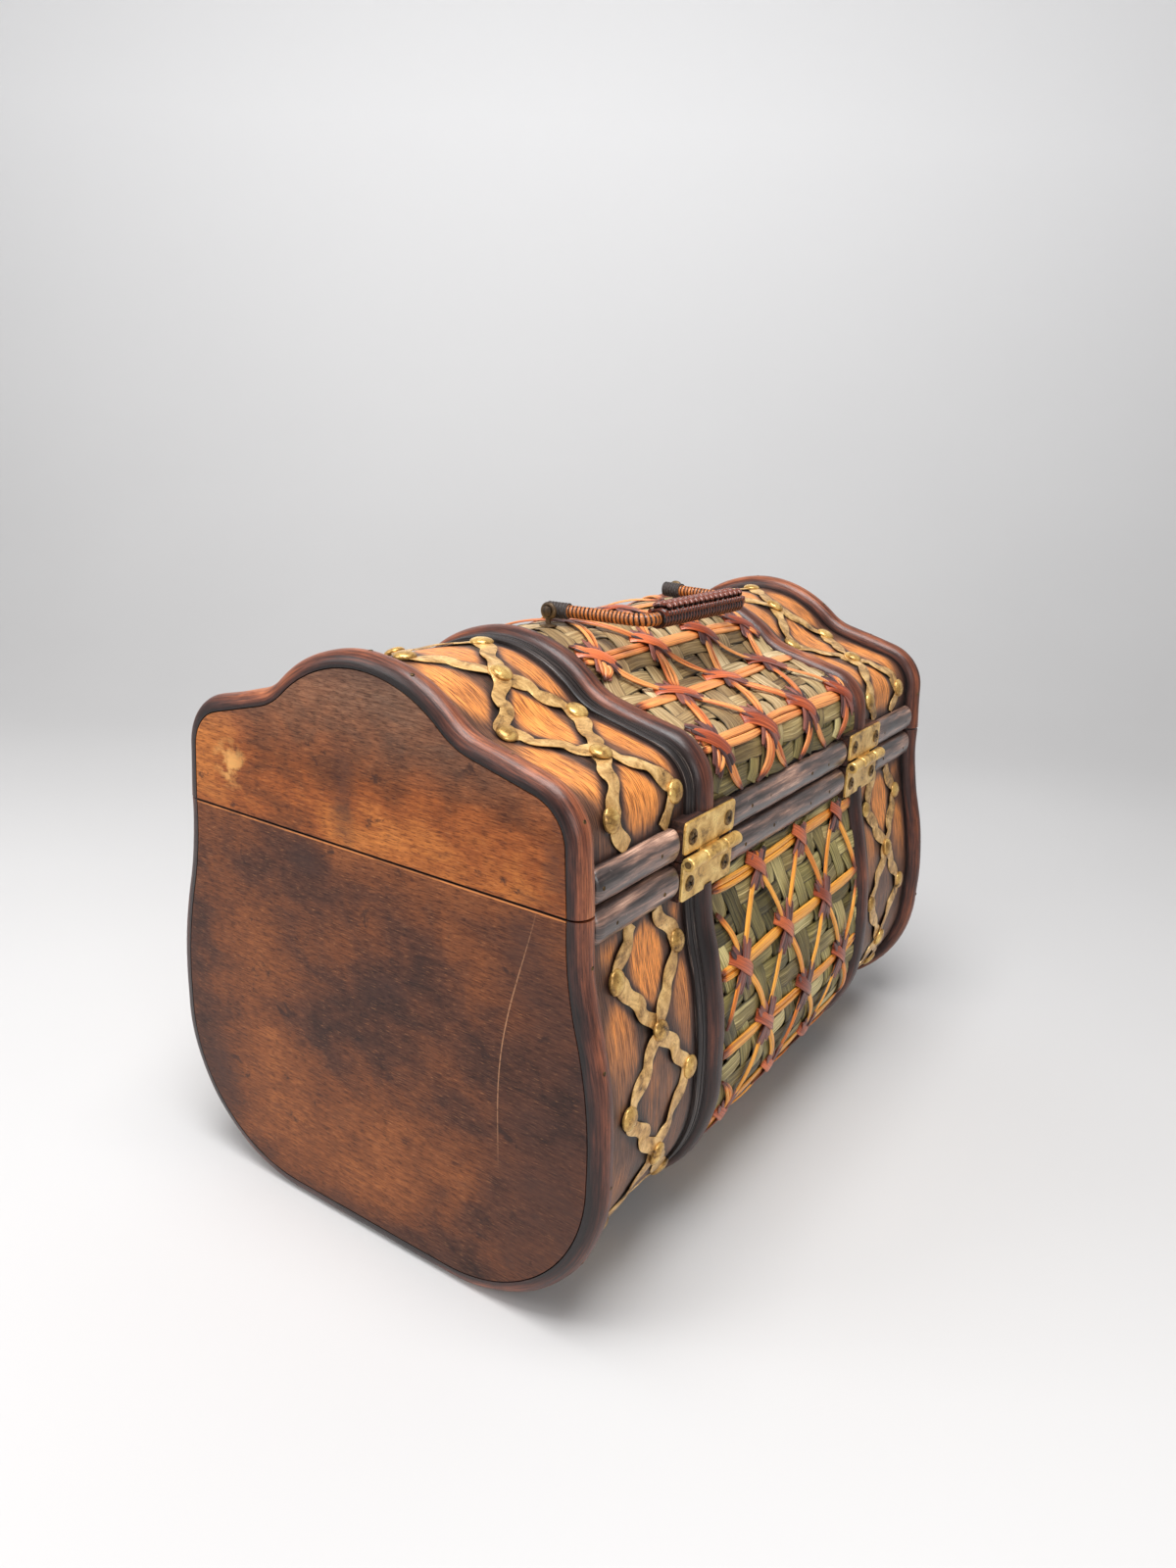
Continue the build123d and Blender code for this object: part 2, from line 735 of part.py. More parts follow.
def make_latch():
    """A hook that pivots on the body's plate and catches a headed post on the lid's plate."""
    face_y = seam_half_width + pad_thickness
    plate_y = face_y + latch_plate_thickness
    hook_y = plate_y + latch_boss_height
    half_plate = latch_plate_width / 2
    for name, side in (("body", -1), ("lid", 1)):
        z = seam_height + side * latch_pin_z
        z_range = (z - latch_plate_height / 2, z + latch_plate_height / 2)
        plate = block((-half_plate, half_plate), (face_y, plate_y), z_range)
        plate = plate.chamfer(leaf_corner, None, plate.edges().filter_by(Axis.Y))
        reach = latch_boss_height + hook_thickness + hook_side_gap
        foot = Vector(0, plate_y, z)
        post = cylinder(foot, (0, 1, 0), latch_pin_radius, reach)
        head = prism(foot + Vector(0, reach, 0), (0, 1, 0), post_head_radius, post_head_height, bore_sides)
        plate = plate.fuse(post, head)
        if side < 0:
            plate = plate.fuse(prism(foot, (0, 1, 0), latch_boss_radius, latch_boss_height, bore_sides))
        screws = []
        for x in (-latch_screw_x, latch_screw_x):
            place = Vector(x, plate_y, z)
            screws.append(stud(place, (0, 1, 0), latch_screw_radius, latch_screw_crown, screw_head_height))
        save(f"{name}_latch_pad", front_copy(pad(side, latch_pad_width / 2, 0.0)))
        save(f"{name}_latch_plate", front_copy(plate))
        save(f"{name}_latch_screws", *[front_copy(item) for item in screws])
    save("latch_hook", front_copy(latch_hook(hook_y)))


def latch_hook(hook_y):
    """The hook hangs from its pivot. Its open slot faces the side that meets the post as it swings up."""
    pivot_z = seam_height - latch_pin_z
    span = 2 * latch_pin_z
    slot = latch_pin_radius + hook_slot_clearance
    far = pivot_z - span
    plane_y = hook_y + hook_side_gap / 2
    through = (plane_y - hook_thickness, plane_y + 2 * hook_thickness)
    depth = through[1] - through[0]
    arm = block((-hook_half_width, hook_half_width), (plane_y, plane_y + hook_thickness), (far, pivot_z))
    eye_radius = around(hook_half_width, bore_sides)
    nose_radius = hook_half_width + slot / 2
    eye = prism(Vector(0, plane_y, pivot_z), (0, 1, 0), eye_radius, hook_thickness, bore_sides)
    nose = prism(Vector(0, plane_y, far), (0, 1, 0), nose_radius, hook_thickness, bore_sides)
    hook = arm.fuse(eye, nose)
    bore_radius = around(latch_pin_radius + hook_clearance, bore_sides)
    hook = hook - prism(Vector(0, through[0], pivot_z), (0, 1, 0), bore_radius, depth, bore_sides)
    hook = hook - prism(Vector(0, through[0], far), (0, 1, 0), around(slot, bore_sides), depth, bore_sides)
    mouth = block((0.0, 2 * nose_radius), through, (far - slot, far + slot))
    return hook - mouth


def make_trim():
    """Straps, tacks, mats and lattices."""
    lid_range = (trim_start, lid.length - trim_start)
    lid_pitch = lid.length / lid_strap_waves
    straps, tacks = straps_and_tacks(lid, 0.0, lid_pitch, (rail_edge, lid.length - rail_edge))
    save_both_ends("lid_straps", lambda: straps)
    save_both_ends("lid_tacks", lambda: tacks)
    body_range = (trim_start, base_edge)
    straps, tacks = straps_and_tacks(body, body_strap_start, body_strap_pitch, (rail_edge, base_edge))
    straps = straps + [front_copy(piece) for piece in straps]
    tacks = tacks + [front_copy(piece) for piece in tacks]
    save_both_ends("body_straps", lambda: straps)
    save_both_ends("body_tacks", lambda: tacks)

    wide = (-middle_bay, middle_bay)
    lid_mat = lid.band(wide, lid_range, 0.0, mat_thickness)
    for x in (-eye_half_span, eye_half_span):
        lid_mat = lid_mat - eye_stem_hole(x)
    save("lid_mat", lid_mat)
    mat = body.band(wide, body_range, 0.0, mat_thickness)
    save("body_mat_back", mat)
    save("body_mat_front", front_copy(mat))
    lid_row_pitch = (lid.length - 2 * lid_first_row) / (lid_rows - 1)
    lid_net = (lid_rows, lid_first_row, lid_row_pitch, lid_node_shift)
    canes, ties = lattice(lid, *lid_net, lid_range, 1, lid_rows // 2)
    save("lid_lattice", *canes)
    save("lid_lattice_ties", *ties)
    body_net = (body_rows, body_first_row, body_row_pitch, body_node_shift)
    canes, ties = lattice(body, *body_net, body_range, 0, -1)
    save("body_lattice_back", *canes)
    save("body_lattice_front", *[front_copy(piece) for piece in canes])
    save("body_lattice_ties", *ties, *[front_copy(piece) for piece in ties])


def make_eyes(axis_z):
    """Two brass eyes whose square stems are clinched through the lid."""
    eyes = []
    for x in (-eye_half_span, eye_half_span):
        ring_start = Vector(x - eye_ring_width / 2, 0.0, axis_z)
        stem_foot = apex - shell_thickness
        stem_range = (x - eye_stem_half, x + eye_stem_half)
        stem = block(stem_range, (-eye_stem_half, eye_stem_half), (stem_foot, axis_z - bail_pin_radius))
        washer_z = apex + mat_thickness
        half = eye_washer_half
        washer = block((x - half, x + half), (-half, half), (washer_z, washer_z + eye_washer_thickness))
        eye = prism(ring_start, (1, 0, 0), eye_ring_radius, eye_ring_width, bail_sides).fuse(stem, washer)
        hole_start = ring_start - Vector(eye_ring_width, 0, 0)
        hole_radius = around(bail_pin_radius + eye_clearance, bail_sides)
        eyes.append(eye - prism(hole_start, (1, 0, 0), hole_radius, 3 * eye_ring_width, bail_sides))
    return eyes


def make_handle():
    """A cane bail that swings on two brass eyes, lying back over the lid, with a wrapped grip."""
    axis_z = apex + eye_rise
    save("handle_eyes", *make_eyes(axis_z))
    reach_out = eye_ring_width / 2 + bail_side_gap
    arm_x = eye_half_span - reach_out - binding_radius
    start = Vector(arm_x, 0.0, axis_z)
    elbow = Vector(bail_half_width - bail_taper, bail_reach, axis_z)
    arm_way = (elbow - start).normalized()
    binding_end = start + arm_way * (binding_length - binding_radius)
    route = [binding_end, elbow, Vector(-elbow.X, elbow.Y, elbow.Z), Vector(-binding_end.X, binding_end.Y, axis_z)]
    path = FilletPolyline(*route, radius=bail_corner)
    save("handle_bail", bent_rod(path, bail_radius, bail_sides, bail_corner_steps))
    grip_half = elbow.X - bail_corner
    grip_end = Vector(-grip_half, bail_reach, axis_z)
    sleeve = cylinder(grip_end, (1, 0, 0), grip_radius, 2 * grip_half)
    hollow = prism(grip_end, (1, 0, 0), bail_radius, 2 * grip_half, bail_sides)
    save("handle_grip_wrap", sleeve - hollow)
    bindings, pins = [], []
    back = start - arm_way * binding_radius
    binding = prism(back, arm_way, binding_radius, binding_length, bail_sides)
    pin = cylinder(start, (1, 0, 0), bail_pin_radius, eye_half_span + reach_out - arm_x)
    head_foot = Vector(eye_half_span + reach_out, 0.0, axis_z)
    pin = pin.fuse(stud(head_foot, (1, 0, 0), bail_pin_head_radius, bail_pin_radius, post_head_height))
    binding = binding - pin
    save("handle_bindings", binding, mirrored(binding))
    save("handle_pins", pin, mirrored(pin))


make_shells()
make_ends()
make_ribs()
make_rails()
make_hinges()
make_latch()
make_trim()
make_handle()
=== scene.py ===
import math

import bmesh
import bpy
import numpy as np
from mathutils import Matrix, Vector


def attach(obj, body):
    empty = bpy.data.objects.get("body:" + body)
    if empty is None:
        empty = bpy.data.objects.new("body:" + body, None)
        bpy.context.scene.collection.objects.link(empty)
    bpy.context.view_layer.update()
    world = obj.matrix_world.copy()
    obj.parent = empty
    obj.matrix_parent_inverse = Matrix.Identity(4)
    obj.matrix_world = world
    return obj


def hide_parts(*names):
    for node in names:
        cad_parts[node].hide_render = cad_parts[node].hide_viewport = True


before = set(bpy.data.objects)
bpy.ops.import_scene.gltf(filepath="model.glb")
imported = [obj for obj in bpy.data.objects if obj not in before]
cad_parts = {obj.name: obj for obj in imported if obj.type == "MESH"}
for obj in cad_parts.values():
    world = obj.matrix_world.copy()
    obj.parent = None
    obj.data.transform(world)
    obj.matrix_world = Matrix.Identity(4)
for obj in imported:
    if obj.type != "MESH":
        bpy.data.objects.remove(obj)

scene = bpy.context.scene
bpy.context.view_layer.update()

# Driving dimensions of the chest in millimetres, as they are given or worked out in the model's source
MM = 0.001
half_length = 160.0
seam_half_width = 88.4
bulge_half_width = 100.2
seam_height = 159.6
seam_gap = 0.6
corner_radius = 60.5
side_flat = 8.0
bulge_share = 0.55
base_height = 5.3
lid_rise = 64.7
lid_lean = 4.0
lid_corner_radius = 17.0
shoulder_slope = 14.4
cove_radius = 30.0
dome_radius = 55.0
dome_angle = 42.0
shell_thickness = 3.0
panel_inner = 154.0
moulding_width = 10.4
moulding_proud = 5.8
rib_centre = 76.5
rib_width = 12.0
rib_proud = 5.0
lip_width = 5.8
middle_bay = 70.2
trim_start = 15.3
trim_gap = 0.3
rail_height = 12.6
rail_proud = 5.0
hinge_centre = 77.5
hinge_length = 37.6
leaf_height = 15.0
pad_thickness = 4.2
leaf_thickness = 1.0
barrel_radius = 2.6
latch_pad_width = 30.0
strap_centre = 115.0
strap_swing = 20.5
body_strap_start = 5.0
body_strap_pitch = 50.0
lid_strap_waves = 5
node_pitch = 41.0
lid_rows = 7
lid_first_row = 34.0
lid_node_shift = -1.0
body_rows = 6
body_first_row = 19.5
body_row_pitch = 33.9
body_node_shift = -8.0
eye_half_span = 52.0
eye_rise = 8.0

# Finer dimensions that only the looks have
rib_start = 13.4
rail_crest = 6.6
rail_nails = (-138.0, -104.0, -40.0, -16.0, 22.0, 44.0, 108.0, 141.0)
pad_inner = 54.0
strap_start = 13.6
strap_width = 6.3
strap_beat = 12.5
tack_radius = 4.7
tack_height = 1.9


def screen(red, green, blue):
    """A colour given as screen values from 0 to 255, turned into the linear numbers that a shader takes."""
    shares = [value / 255.0 for value in (red, green, blue)]
    return tuple(s / 12.92 if s <= 0.04045 else ((s + 0.055) / 1.055) ** 2.4 for s in shares) + (1.0,)


class Value:
    """An output inside a material. Each sum with it adds one Math node."""

    def __init__(self, paint, socket):
        self.paint, self.socket = paint, socket

    def __add__(self, other):
        return self.paint.math("ADD", self, other)

    def __sub__(self, other):
        return self.paint.math("SUBTRACT", self, other)

    def __mul__(self, other):
        return self.paint.math("MULTIPLY", self, other)

    def __truediv__(self, other):
        return self.paint.math("DIVIDE", self, other)

    def __abs__(self):
        return self.paint.math("ABSOLUTE", self)


class Paint:
    """A procedural material. Colours are screen values, and coordinates are in millimetres."""

    def __init__(self, name, metallic=0.0, specular=0.5, coat=0.0, coat_roughness=0.3, sheen=0.0):
        self.material = bpy.data.materials.new(name)
        self.material.use_nodes = True
        self.tree = self.material.node_tree
        self.shader = self.tree.nodes["Principled BSDF"].inputs
        self.shader["Metallic"].default_value = metallic
        self.shader["Specular IOR Level"].default_value = specular
        self.shader["Coat Weight"].default_value = coat
        self.shader["Coat Roughness"].default_value = coat_roughness
        self.shader["Sheen Weight"].default_value = sheen

    def connect(self, socket, value):
        if isinstance(value, Value):
            self.tree.links.new(value.socket, socket)
        else:
            socket.default_value = value

    def node(self, kind, inputs, **settings):
        made = self.tree.nodes.new("ShaderNode" + kind)
        for name, value in settings.items():
            setattr(made, name, value)
        for name, value in inputs.items():
            self.connect(made.inputs[name], value)
        return made

    def place(self, scale=(1.0, 1.0, 1.0), source="Object"):
        """Coordinates squeezed by a scale: of the object, or the flow along a strip."""
        if source == "Object":
            where = self.node("TexCoord", {}).outputs["Object"]
            scale = tuple(value / MM for value in scale)
        else:
            where = self.node("Attribute", {}, attribute_name=source).outputs["Vector"]
        made = self.node("Mapping", {"Vector": Value(self, where), "Scale": scale})
        return Value(self, made.outputs["Vector"])

    def axes(self, source="Object"):
        parts = self.node("SeparateXYZ", {"Vector": self.place(source=source)}).outputs
        return [Value(self, part) for part in parts]

    def tone(self):
        return Value(self, self.node("Attribute", {}, attribute_name="tone").outputs["Fac"])

    def noise(self, scale, detail, roughness=0.55, distortion=0.0, source="Object", size=1.0):
        inputs = {"Vector": self.place(scale, source), "Scale": size, "Detail": detail}
        inputs.update({"Roughness": roughness, "Distortion": distortion})
        return Value(self, self.node("TexNoise", inputs).outputs["Fac"])

    def streaks(self, along, across, detail, roughness, distortion=0.0, layer=1.0):
        """Noise drawn out along the flow of a strip."""
        return self.noise((along, across, layer), detail, roughness, distortion, "flow")

    def ramp(self, share, *stops):
        """A colour ramp through stops, each a position and a colour's three values."""
        made = self.node("ValToRGB", {"Fac": share})
        band = made.color_ramp
        while len(band.elements) < len(stops):
            band.elements.new(0.5)
        for element, (position, *colour) in zip(band.elements, stops):
            element.position = position
            element.color = screen(*colour)
        return Value(self, made.outputs["Color"])

    def level(self, value, low, high, first=0.0, last=1.0):
        """A number moved from one range to another, held at both ends."""
        inputs = {"Value": value, "From Min": low, "From Max": high, "To Min": first, "To Max": last}
        return Value(self, self.node("MapRange", inputs).outputs["Result"])

    def mix(self, share, first, second, mode="MIX"):
        """The second colour laid over the first by a share."""
        made = self.node("Mix", {}, data_type="RGBA", blend_type=mode)
        colour = screen(*second) if isinstance(second, tuple) else second
        for index, value in ((0, share), (6, first), (7, colour)):
            self.connect(made.inputs[index], value)
        return Value(self, made.outputs[2])

    def shade(self, body, strength, share, low, high, colour):
        """The body darkened by a colour where a share is low, and left alone where it is high."""
        return self.mix(strength, body, self.ramp(share, (low, *colour), (high, 255, 255, 255)), "MULTIPLY")

    def math(self, kind, first, second=0.0):
        made = self.node("Math", {}, operation=kind)
        self.connect(made.inputs[0], first)
        self.connect(made.inputs[1], second)
        return Value(self, made.outputs[0])

    def finish(self, colour, roughness, height, depth):
        """Link the colour, the roughness and a bump height whose full depth is given in millimetres."""
        self.connect(self.shader["Base Color"], colour)
        self.connect(self.shader["Roughness"], roughness)
        bump = self.node("Bump", {"Height": height, "Strength": 1.0, "Distance": depth * MM})
        self.tree.links.new(bump.outputs["Normal"], self.shader["Normal"])
        return self.material


# Soft areas of an end panel: the centre (y, z) of each and its reach on both axes
panel_glows = [
    ((33, 168), (62, 22)), ((-70, 150), (40, 60)), ((-20, 40), (60, 45)), ((-62, 80), (34, 50)),
    ((-84, 196), (34, 40)),
]
panel_stains = [
    ((66, 214), (40, 14)), ((-66, 205), (30, 10)), ((-8, 181), (9, 24)), ((87, 176), (12, 26)),
    ((80, 132), (26, 32)), ((9, 108), (17, 13)), ((-28, 150), (15, 9)), ((90, 60), (20, 46)),
    ((-90, 30), (22, 44)), ((0, 228), (64, 13)), ((104, 150), (22, 90)), ((-104, 110), (11, 70)),
    ((0, 2), (90, 12)), ((86, 44), (38, 60)),
]
# Heights in millimetres over which the lid panel turns to its dust and painted sheen
dust_and_sheen_heights = (186.0, 222.0)


def patch(place, centre, reach):
    """1 at a centre (y, z) on the end panel, falling to 0 at a reach on each axis."""
    across = (place[1] - centre[0]) / reach[0]
    along = (place[2] - centre[1]) / reach[1]
    return across.paint.level(across * across + along * along, 0.0, 1.0, 1.0, 0.0)


def panel_wood(name, node, edge_highlight, tones, dust_and_sheen):
    """Mottled ply: short grain flecks, soft stains, orange glows, dust and painted sheen towards the top, a
    painted highlight along the top edge, a scratch and a dark line of painted shade at the seam.
    """
    paint = Paint(name, specular=0.22, coat=0.04, coat_roughness=0.4)
    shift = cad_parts[node].matrix_world.translation / MM
    place = [part + offset for part, offset in zip(paint.axes(), shift)]
    ragged = paint.noise((0.05, 0.05, 0.075), 6.0, 0.6, 0.5)
    broad = paint.noise((0.014, 0.012, 0.017), 3.0, 0.55, 0.4)
    grain = paint.noise((0.4, 0.07, 0.8), 5.0, 0.66)
    fine = paint.noise((0.9, 0.26, 2.1), 3.0, 0.6)
    share = broad + (ragged - 0.5) * 0.7
    for centre, reach in panel_glows:
        share = share + patch(place, centre, reach) * 0.22
    body = paint.ramp(share, *((at, *tone) for at, tone in zip((0.30, 0.47, 0.64, 0.88), tones)))
    # Dust and painted sheen: towards its top the panel is mixed toward a pale grey-brown, partly dust and
    # partly painted sheen where the top catches the light.
    body = paint.mix(paint.level(place[2], *dust_and_sheen_heights) * dust_and_sheen, body, (150, 120, 100))
    body = paint.shade(body, 0.6, grain, 0.36, 0.60, (140, 110, 98))
    body = paint.shade(body, 0.62, fine, 0.36, 0.50, (104, 74, 62))
    body = paint.mix(paint.level(fine, 0.60, 0.74, 0.0, 0.4), body, (206, 142, 92))
    dark = patch(place, *panel_stains[0])
    for centre, reach in panel_stains[1:]:
        dark = paint.math("MAXIMUM", dark, patch(place, centre, reach))
    dark = paint.level(dark + (ragged - 0.5) * 3.6, 0.3, 1.25, 0.0, 0.68)
    body = paint.mix(dark, body, (62, 42, 38))
    spots = paint.noise((0.08, 0.08, 0.1), 4.0, 0.7, 0.5)
    body = paint.mix(paint.level(spots, 0.62, 0.69, 0.0, 0.7), body, (44, 27, 24))
    worn = patch(place, (-67, 178), (11, 11)) * paint.level(ragged, 0.45, 0.55)
    body = paint.mix(worn * 0.8, body, (232, 172, 100))
    bend = paint.math("SINE", place[2] * 0.045) * 3.5
    away = abs(place[1] - (place[2] * 0.12 + (bend + 55.0)))
    scratch = paint.level(away, 0.1, 0.36, 1.0, 0.0) * patch(place, (66, 110), (200, 52))
    scratch = scratch * paint.level(paint.noise((1.0, 1.0, 1.0), 2.0, size=0.9), 0.3, 0.48)
    body = paint.mix(scratch * 0.7, body, (190, 140, 104))
    # Painted highlight: a pale orange line along the body panel's top edge, just below the seam, where the
    # edge catches the light.
    if edge_highlight:
        edge = paint.level(abs(place[2] - (seam_height - 0.75)), 0.2, 0.4, 1.0, 0.0)
        body = paint.mix(edge * paint.level(ragged, 0.4, 0.55, 0.35, 0.85), body, (214, 136, 76))
    # Painted shade: the panel is darkened to near black within about half a millimetre of the seam, for the
    # shade in the gap between lid and body.
    painted_gap_shade = paint.level(abs(place[2] - seam_height), 0.4, 0.55, 0.9, 0.0)
    body = paint.mix(painted_gap_shade, body, (24, 15, 14))
    return paint.finish(body, paint.level(grain, 0.2, 0.8, 0.42, 0.6), fine, 0.1)


def pad_wood():
    """The dark wooden pads behind the hinge leaves and the latch."""
    paint = Paint("pad_wood", specular=0.4, coat=0.2, coat_roughness=0.25)
    streak = paint.noise((0.03, 0.5, 0.5), 5.0, 0.66)
    fine = paint.noise((0.1, 1.7, 1.7), 5.0, 0.7)
    body = paint.ramp(streak, (0.38, 44, 32, 30), (0.54, 72, 50, 44), (0.72, 136, 84, 62))
    body = paint.shade(body, 0.6, fine, 0.35, 0.6, (118, 98, 92))
    return paint.finish(body, 0.42, fine, 0.12)


def bay_wood():
    """Orange-brown bent ply with its grain along the bend, burnt dark beside the straps and the edges."""
    paint = Paint("bay_wood", specular=0.4, coat=0.12, coat_roughness=0.32)
    across = paint.streaks(0.7, 0.03, 5.0, 0.62, 0.1)
    fine = paint.streaks(1.6, 0.09, 5.0, 0.68)
    broad = paint.streaks(0.06, 0.03, 3.0, 0.6)
    light = paint.tone() + (across - 0.5) * 0.5 + (broad - 0.5) * 0.55
    stops = [(0.00, 30, 18, 15), (0.20, 70, 44, 34), (0.42, 128, 84, 58)]
    stops += [(0.66, 194, 124, 68), (0.95, 250, 158, 76)]
    body = paint.shade(paint.ramp(light, *stops), 0.85, fine, 0.40, 0.55, (96, 64, 50))
    return paint.finish(body, paint.level(across, 0.2, 0.8, 0.34, 0.52), fine, 0.14)


def plain_ply():
    """The bare inside of the bent ply."""
    paint = Paint("plain_ply", specular=0.3)
    fine = paint.streaks(2.6, 0.1, 3.0, 0.6)
    body = paint.ramp(paint.streaks(0.7, 0.03, 5.0, 0.6, 0.3), (0.3, 112, 70, 45), (0.7, 156, 104, 68))
    body = paint.shade(body, 0.5, fine, 0.3, 0.6, (160, 130, 110))
    return paint.finish(body, 0.6, fine, 0.05)


def moulding_wood():
    """Dark stained half-round: tone runs from 0 at its foot to its crest, where the stain is worn."""
    paint = Paint("moulding_wood", specular=0.4, coat=0.15, coat_roughness=0.2)
    streak = paint.streaks(0.024, 0.6, 5.0, 0.68)
    fine = paint.streaks(0.1, 1.7, 5.0, 0.7)
    wear = paint.tone() + (paint.streaks(0.014, 0.03, 4.0, 0.6) - 0.5) * 2.4 + (streak - 0.5) * 1.6
    stops = [(0.10, 26, 13, 12), (0.34, 62, 32, 26), (0.54, 108, 58, 40)]
    stops += [(0.72, 156, 88, 56), (0.94, 206, 130, 84)]
    body = paint.ramp(paint.level(wear, -0.2, 1.6), *stops)
    body = paint.shade(body, 0.75, fine, 0.38, 0.58, (92, 68, 60))
    pits = paint.streaks(0.35, 0.5, 3.0, 0.6)
    body = paint.mix(paint.level(pits, 0.66, 0.72, 0.0, 0.7), body, (30, 18, 17))
    return paint.finish(body, paint.level(streak, 0.3, 0.75, 0.3, 0.52), fine, 0.13)


def liner_black():
    """The black grooved liner beside the ribs."""
    paint = Paint("liner_black", specular=0.45, coat=0.12, coat_roughness=0.3)
    streak = paint.streaks(0.03, 2.2, 5.0, 0.7)
    body = paint.ramp(streak, (0.45, 18, 12, 12), (0.60, 42, 29, 26), (0.70, 140, 124, 114))
    return paint.finish(body, 0.42, streak, 0.1)


def rail_wood():
    """Dark rods with long paler streaks where the stain is rubbed, the palest of them near white as a painted
    sheen highlight.
    """
    paint = Paint("rail_wood", specular=0.6, coat=0.6, coat_roughness=0.18)
    streak = paint.streaks(0.022, 0.3, 5.0, 0.66)
    fine = paint.streaks(0.08, 1.7, 5.0, 0.7)
    # The upper stops are partly rubbed stain and partly painted highlight: the palest streaks are a
    # near-white painted sheen.
    stops = [(0.36, 40, 30, 28), (0.48, 94, 77, 72), (0.59, 164, 126, 108), (0.72, 246, 200, 172)]
    body = paint.shade(paint.ramp(streak, *stops), 0.6, fine, 0.35, 0.6, (118, 98, 92))
    pits = paint.streaks(0.5, 0.5, 3.0, 0.6)
    body = paint.mix(paint.level(pits, 0.68, 0.73, 0.0, 0.6), body, (150, 136, 128))
    return paint.finish(body, paint.level(streak, 0.3, 0.7, 0.3, 0.5), fine, 0.12)


def brass(name, bright, middle, dark, size, roughness, depth, metallic=0.5):
    """Dull brass with blotches of tarnish, brush lines and a hammered or rubbed surface."""
    paint = Paint(name, metallic=metallic, specular=0.5)
    blotch = paint.noise((0.13, 0.13, 0.13), 5.0, 0.68, 0.5, size=size)
    fine = paint.noise((0.9, 0.9, 0.9), 4.0, 0.65)
    body = paint.ramp(blotch, (0.30, *dark), (0.46, *middle), (0.64, *bright))
    body = paint.mix(paint.level(fine, 0.58, 0.72, 0.0, 0.6), body, dark)
    brushed = paint.noise((0.25, 3.0, 3.0), 3.0, 0.6)
    body = paint.mix(paint.level(brushed, 0.5, 0.72, 0.0, 0.35), body, bright)
    dents = paint.noise((0.32, 0.32, 0.32), 3.0, 0.55)
    return paint.finish(body, paint.level(blotch, 0.3, 0.7, roughness + 0.14, roughness), dents, depth)


def screw_brass():
    """Tarnished screw heads with painted shade: near black in the cross recess, which the tone marks."""
    paint = Paint("screw_brass", metallic=0.8, specular=0.5)
    blotch = paint.noise((0.5, 0.5, 0.5), 4.0, 0.65)
    bare = paint.ramp(blotch, (0.35, 70, 50, 34), (0.65, 150, 120, 76))
    return paint.finish(paint.mix(paint.tone(), screen(20, 14, 12), bare), 0.42, blotch, 0.1)


def seagrass():
    """Flat seagrass strips: green on the walls and khaki on the top, with fine fibres along each strip."""
    paint = Paint("seagrass", specular=0.4, coat=0.06, coat_roughness=0.4)
    fibre = paint.streaks(0.035, 1.25, 5.0, 0.7)
    share = fibre + (paint.streaks(0.012, 0.012, 2.0, 0.5, layer=1.7) - 0.5) * 1.3
    greens = [(0.20, 48, 42, 24), (0.38, 100, 90, 50), (0.56, 152, 138, 80), (0.76, 226, 208, 144)]
    khakis = [(0.20, 76, 54, 36), (0.38, 136, 108, 72), (0.56, 180, 150, 106), (0.76, 230, 206, 162)]
    green = paint.ramp(share, *greens)
    khaki = paint.ramp(share, *khakis)
    body = paint.mix(paint.tone(), green, khaki)
    body = paint.shade(body, 0.4, paint.streaks(0.02, 2.6, 3.0, 0.6), 0.36, 0.54, (120, 116, 92))
    # Painted shade: each strip is darkened to near black along its edges, for the shade between the strips.
    body = paint.mix(paint.level(abs(paint.axes("flow")[1]), 3.9, 4.6, 0.0, 0.9), body, (30, 26, 18))
    return paint.finish(body, paint.level(fibre, 0.3, 0.7, 0.55, 0.4), fibre, 0.3)


def cane(name, dark, middle, bright, edge, roughness=0.38):
    """Split cane with streaks along it: tone carries how worn each strip is, and on the lattice and the
    handle it also carries painted light and shade.
    """
    paint = Paint(name, specular=0.45, coat=0.15, coat_roughness=0.3)
    fibre = paint.streaks(0.04, 1.5, 4.0, 0.68)
    body = paint.ramp(fibre + (paint.tone() - 0.5) * 0.8, (0.26, *dark), (0.48, *middle), (0.74, *bright))
    body = paint.shade(body, 0.6, paint.streaks(0.03, 3.0, 3.0, 0.6), 0.38, 0.52, (132, 84, 62))
    body = paint.mix(paint.level(paint.streaks(0.06, 0.2, 3.0, 0.6), 0.58, 0.74, 0.0, 0.6), body, edge)
    return paint.finish(body, paint.level(fibre, 0.3, 0.7, roughness + 0.1, roughness - 0.04), fibre, 0.16)


def binding_black():
    """The black cord that binds the ends of the handle."""
    paint = Paint("black_binding", specular=0.4, sheen=0.2)
    fibre = paint.streaks(0.1, 2.4, 4.0, 0.65)
    return paint.finish(paint.ramp(fibre, (0.35, 26, 20, 19), (0.7, 66, 52, 46)), 0.55, fibre, 0.1)


def joined(*parts):
    """Coordinates given apart, spread to one size and put together as points."""
    return np.stack(np.broadcast_arrays(*parts), -1)


def circle(count):
    """Angles spread evenly round a full turn."""
    return np.linspace(0.0, 2.0 * math.pi, count, endpoint=False)


def lengths(path):
    """Distance along a path of points."""
    steps = np.linalg.norm(np.diff(path, axis=0), axis=1)
    return np.concatenate([[0.0], np.cumsum(steps)])


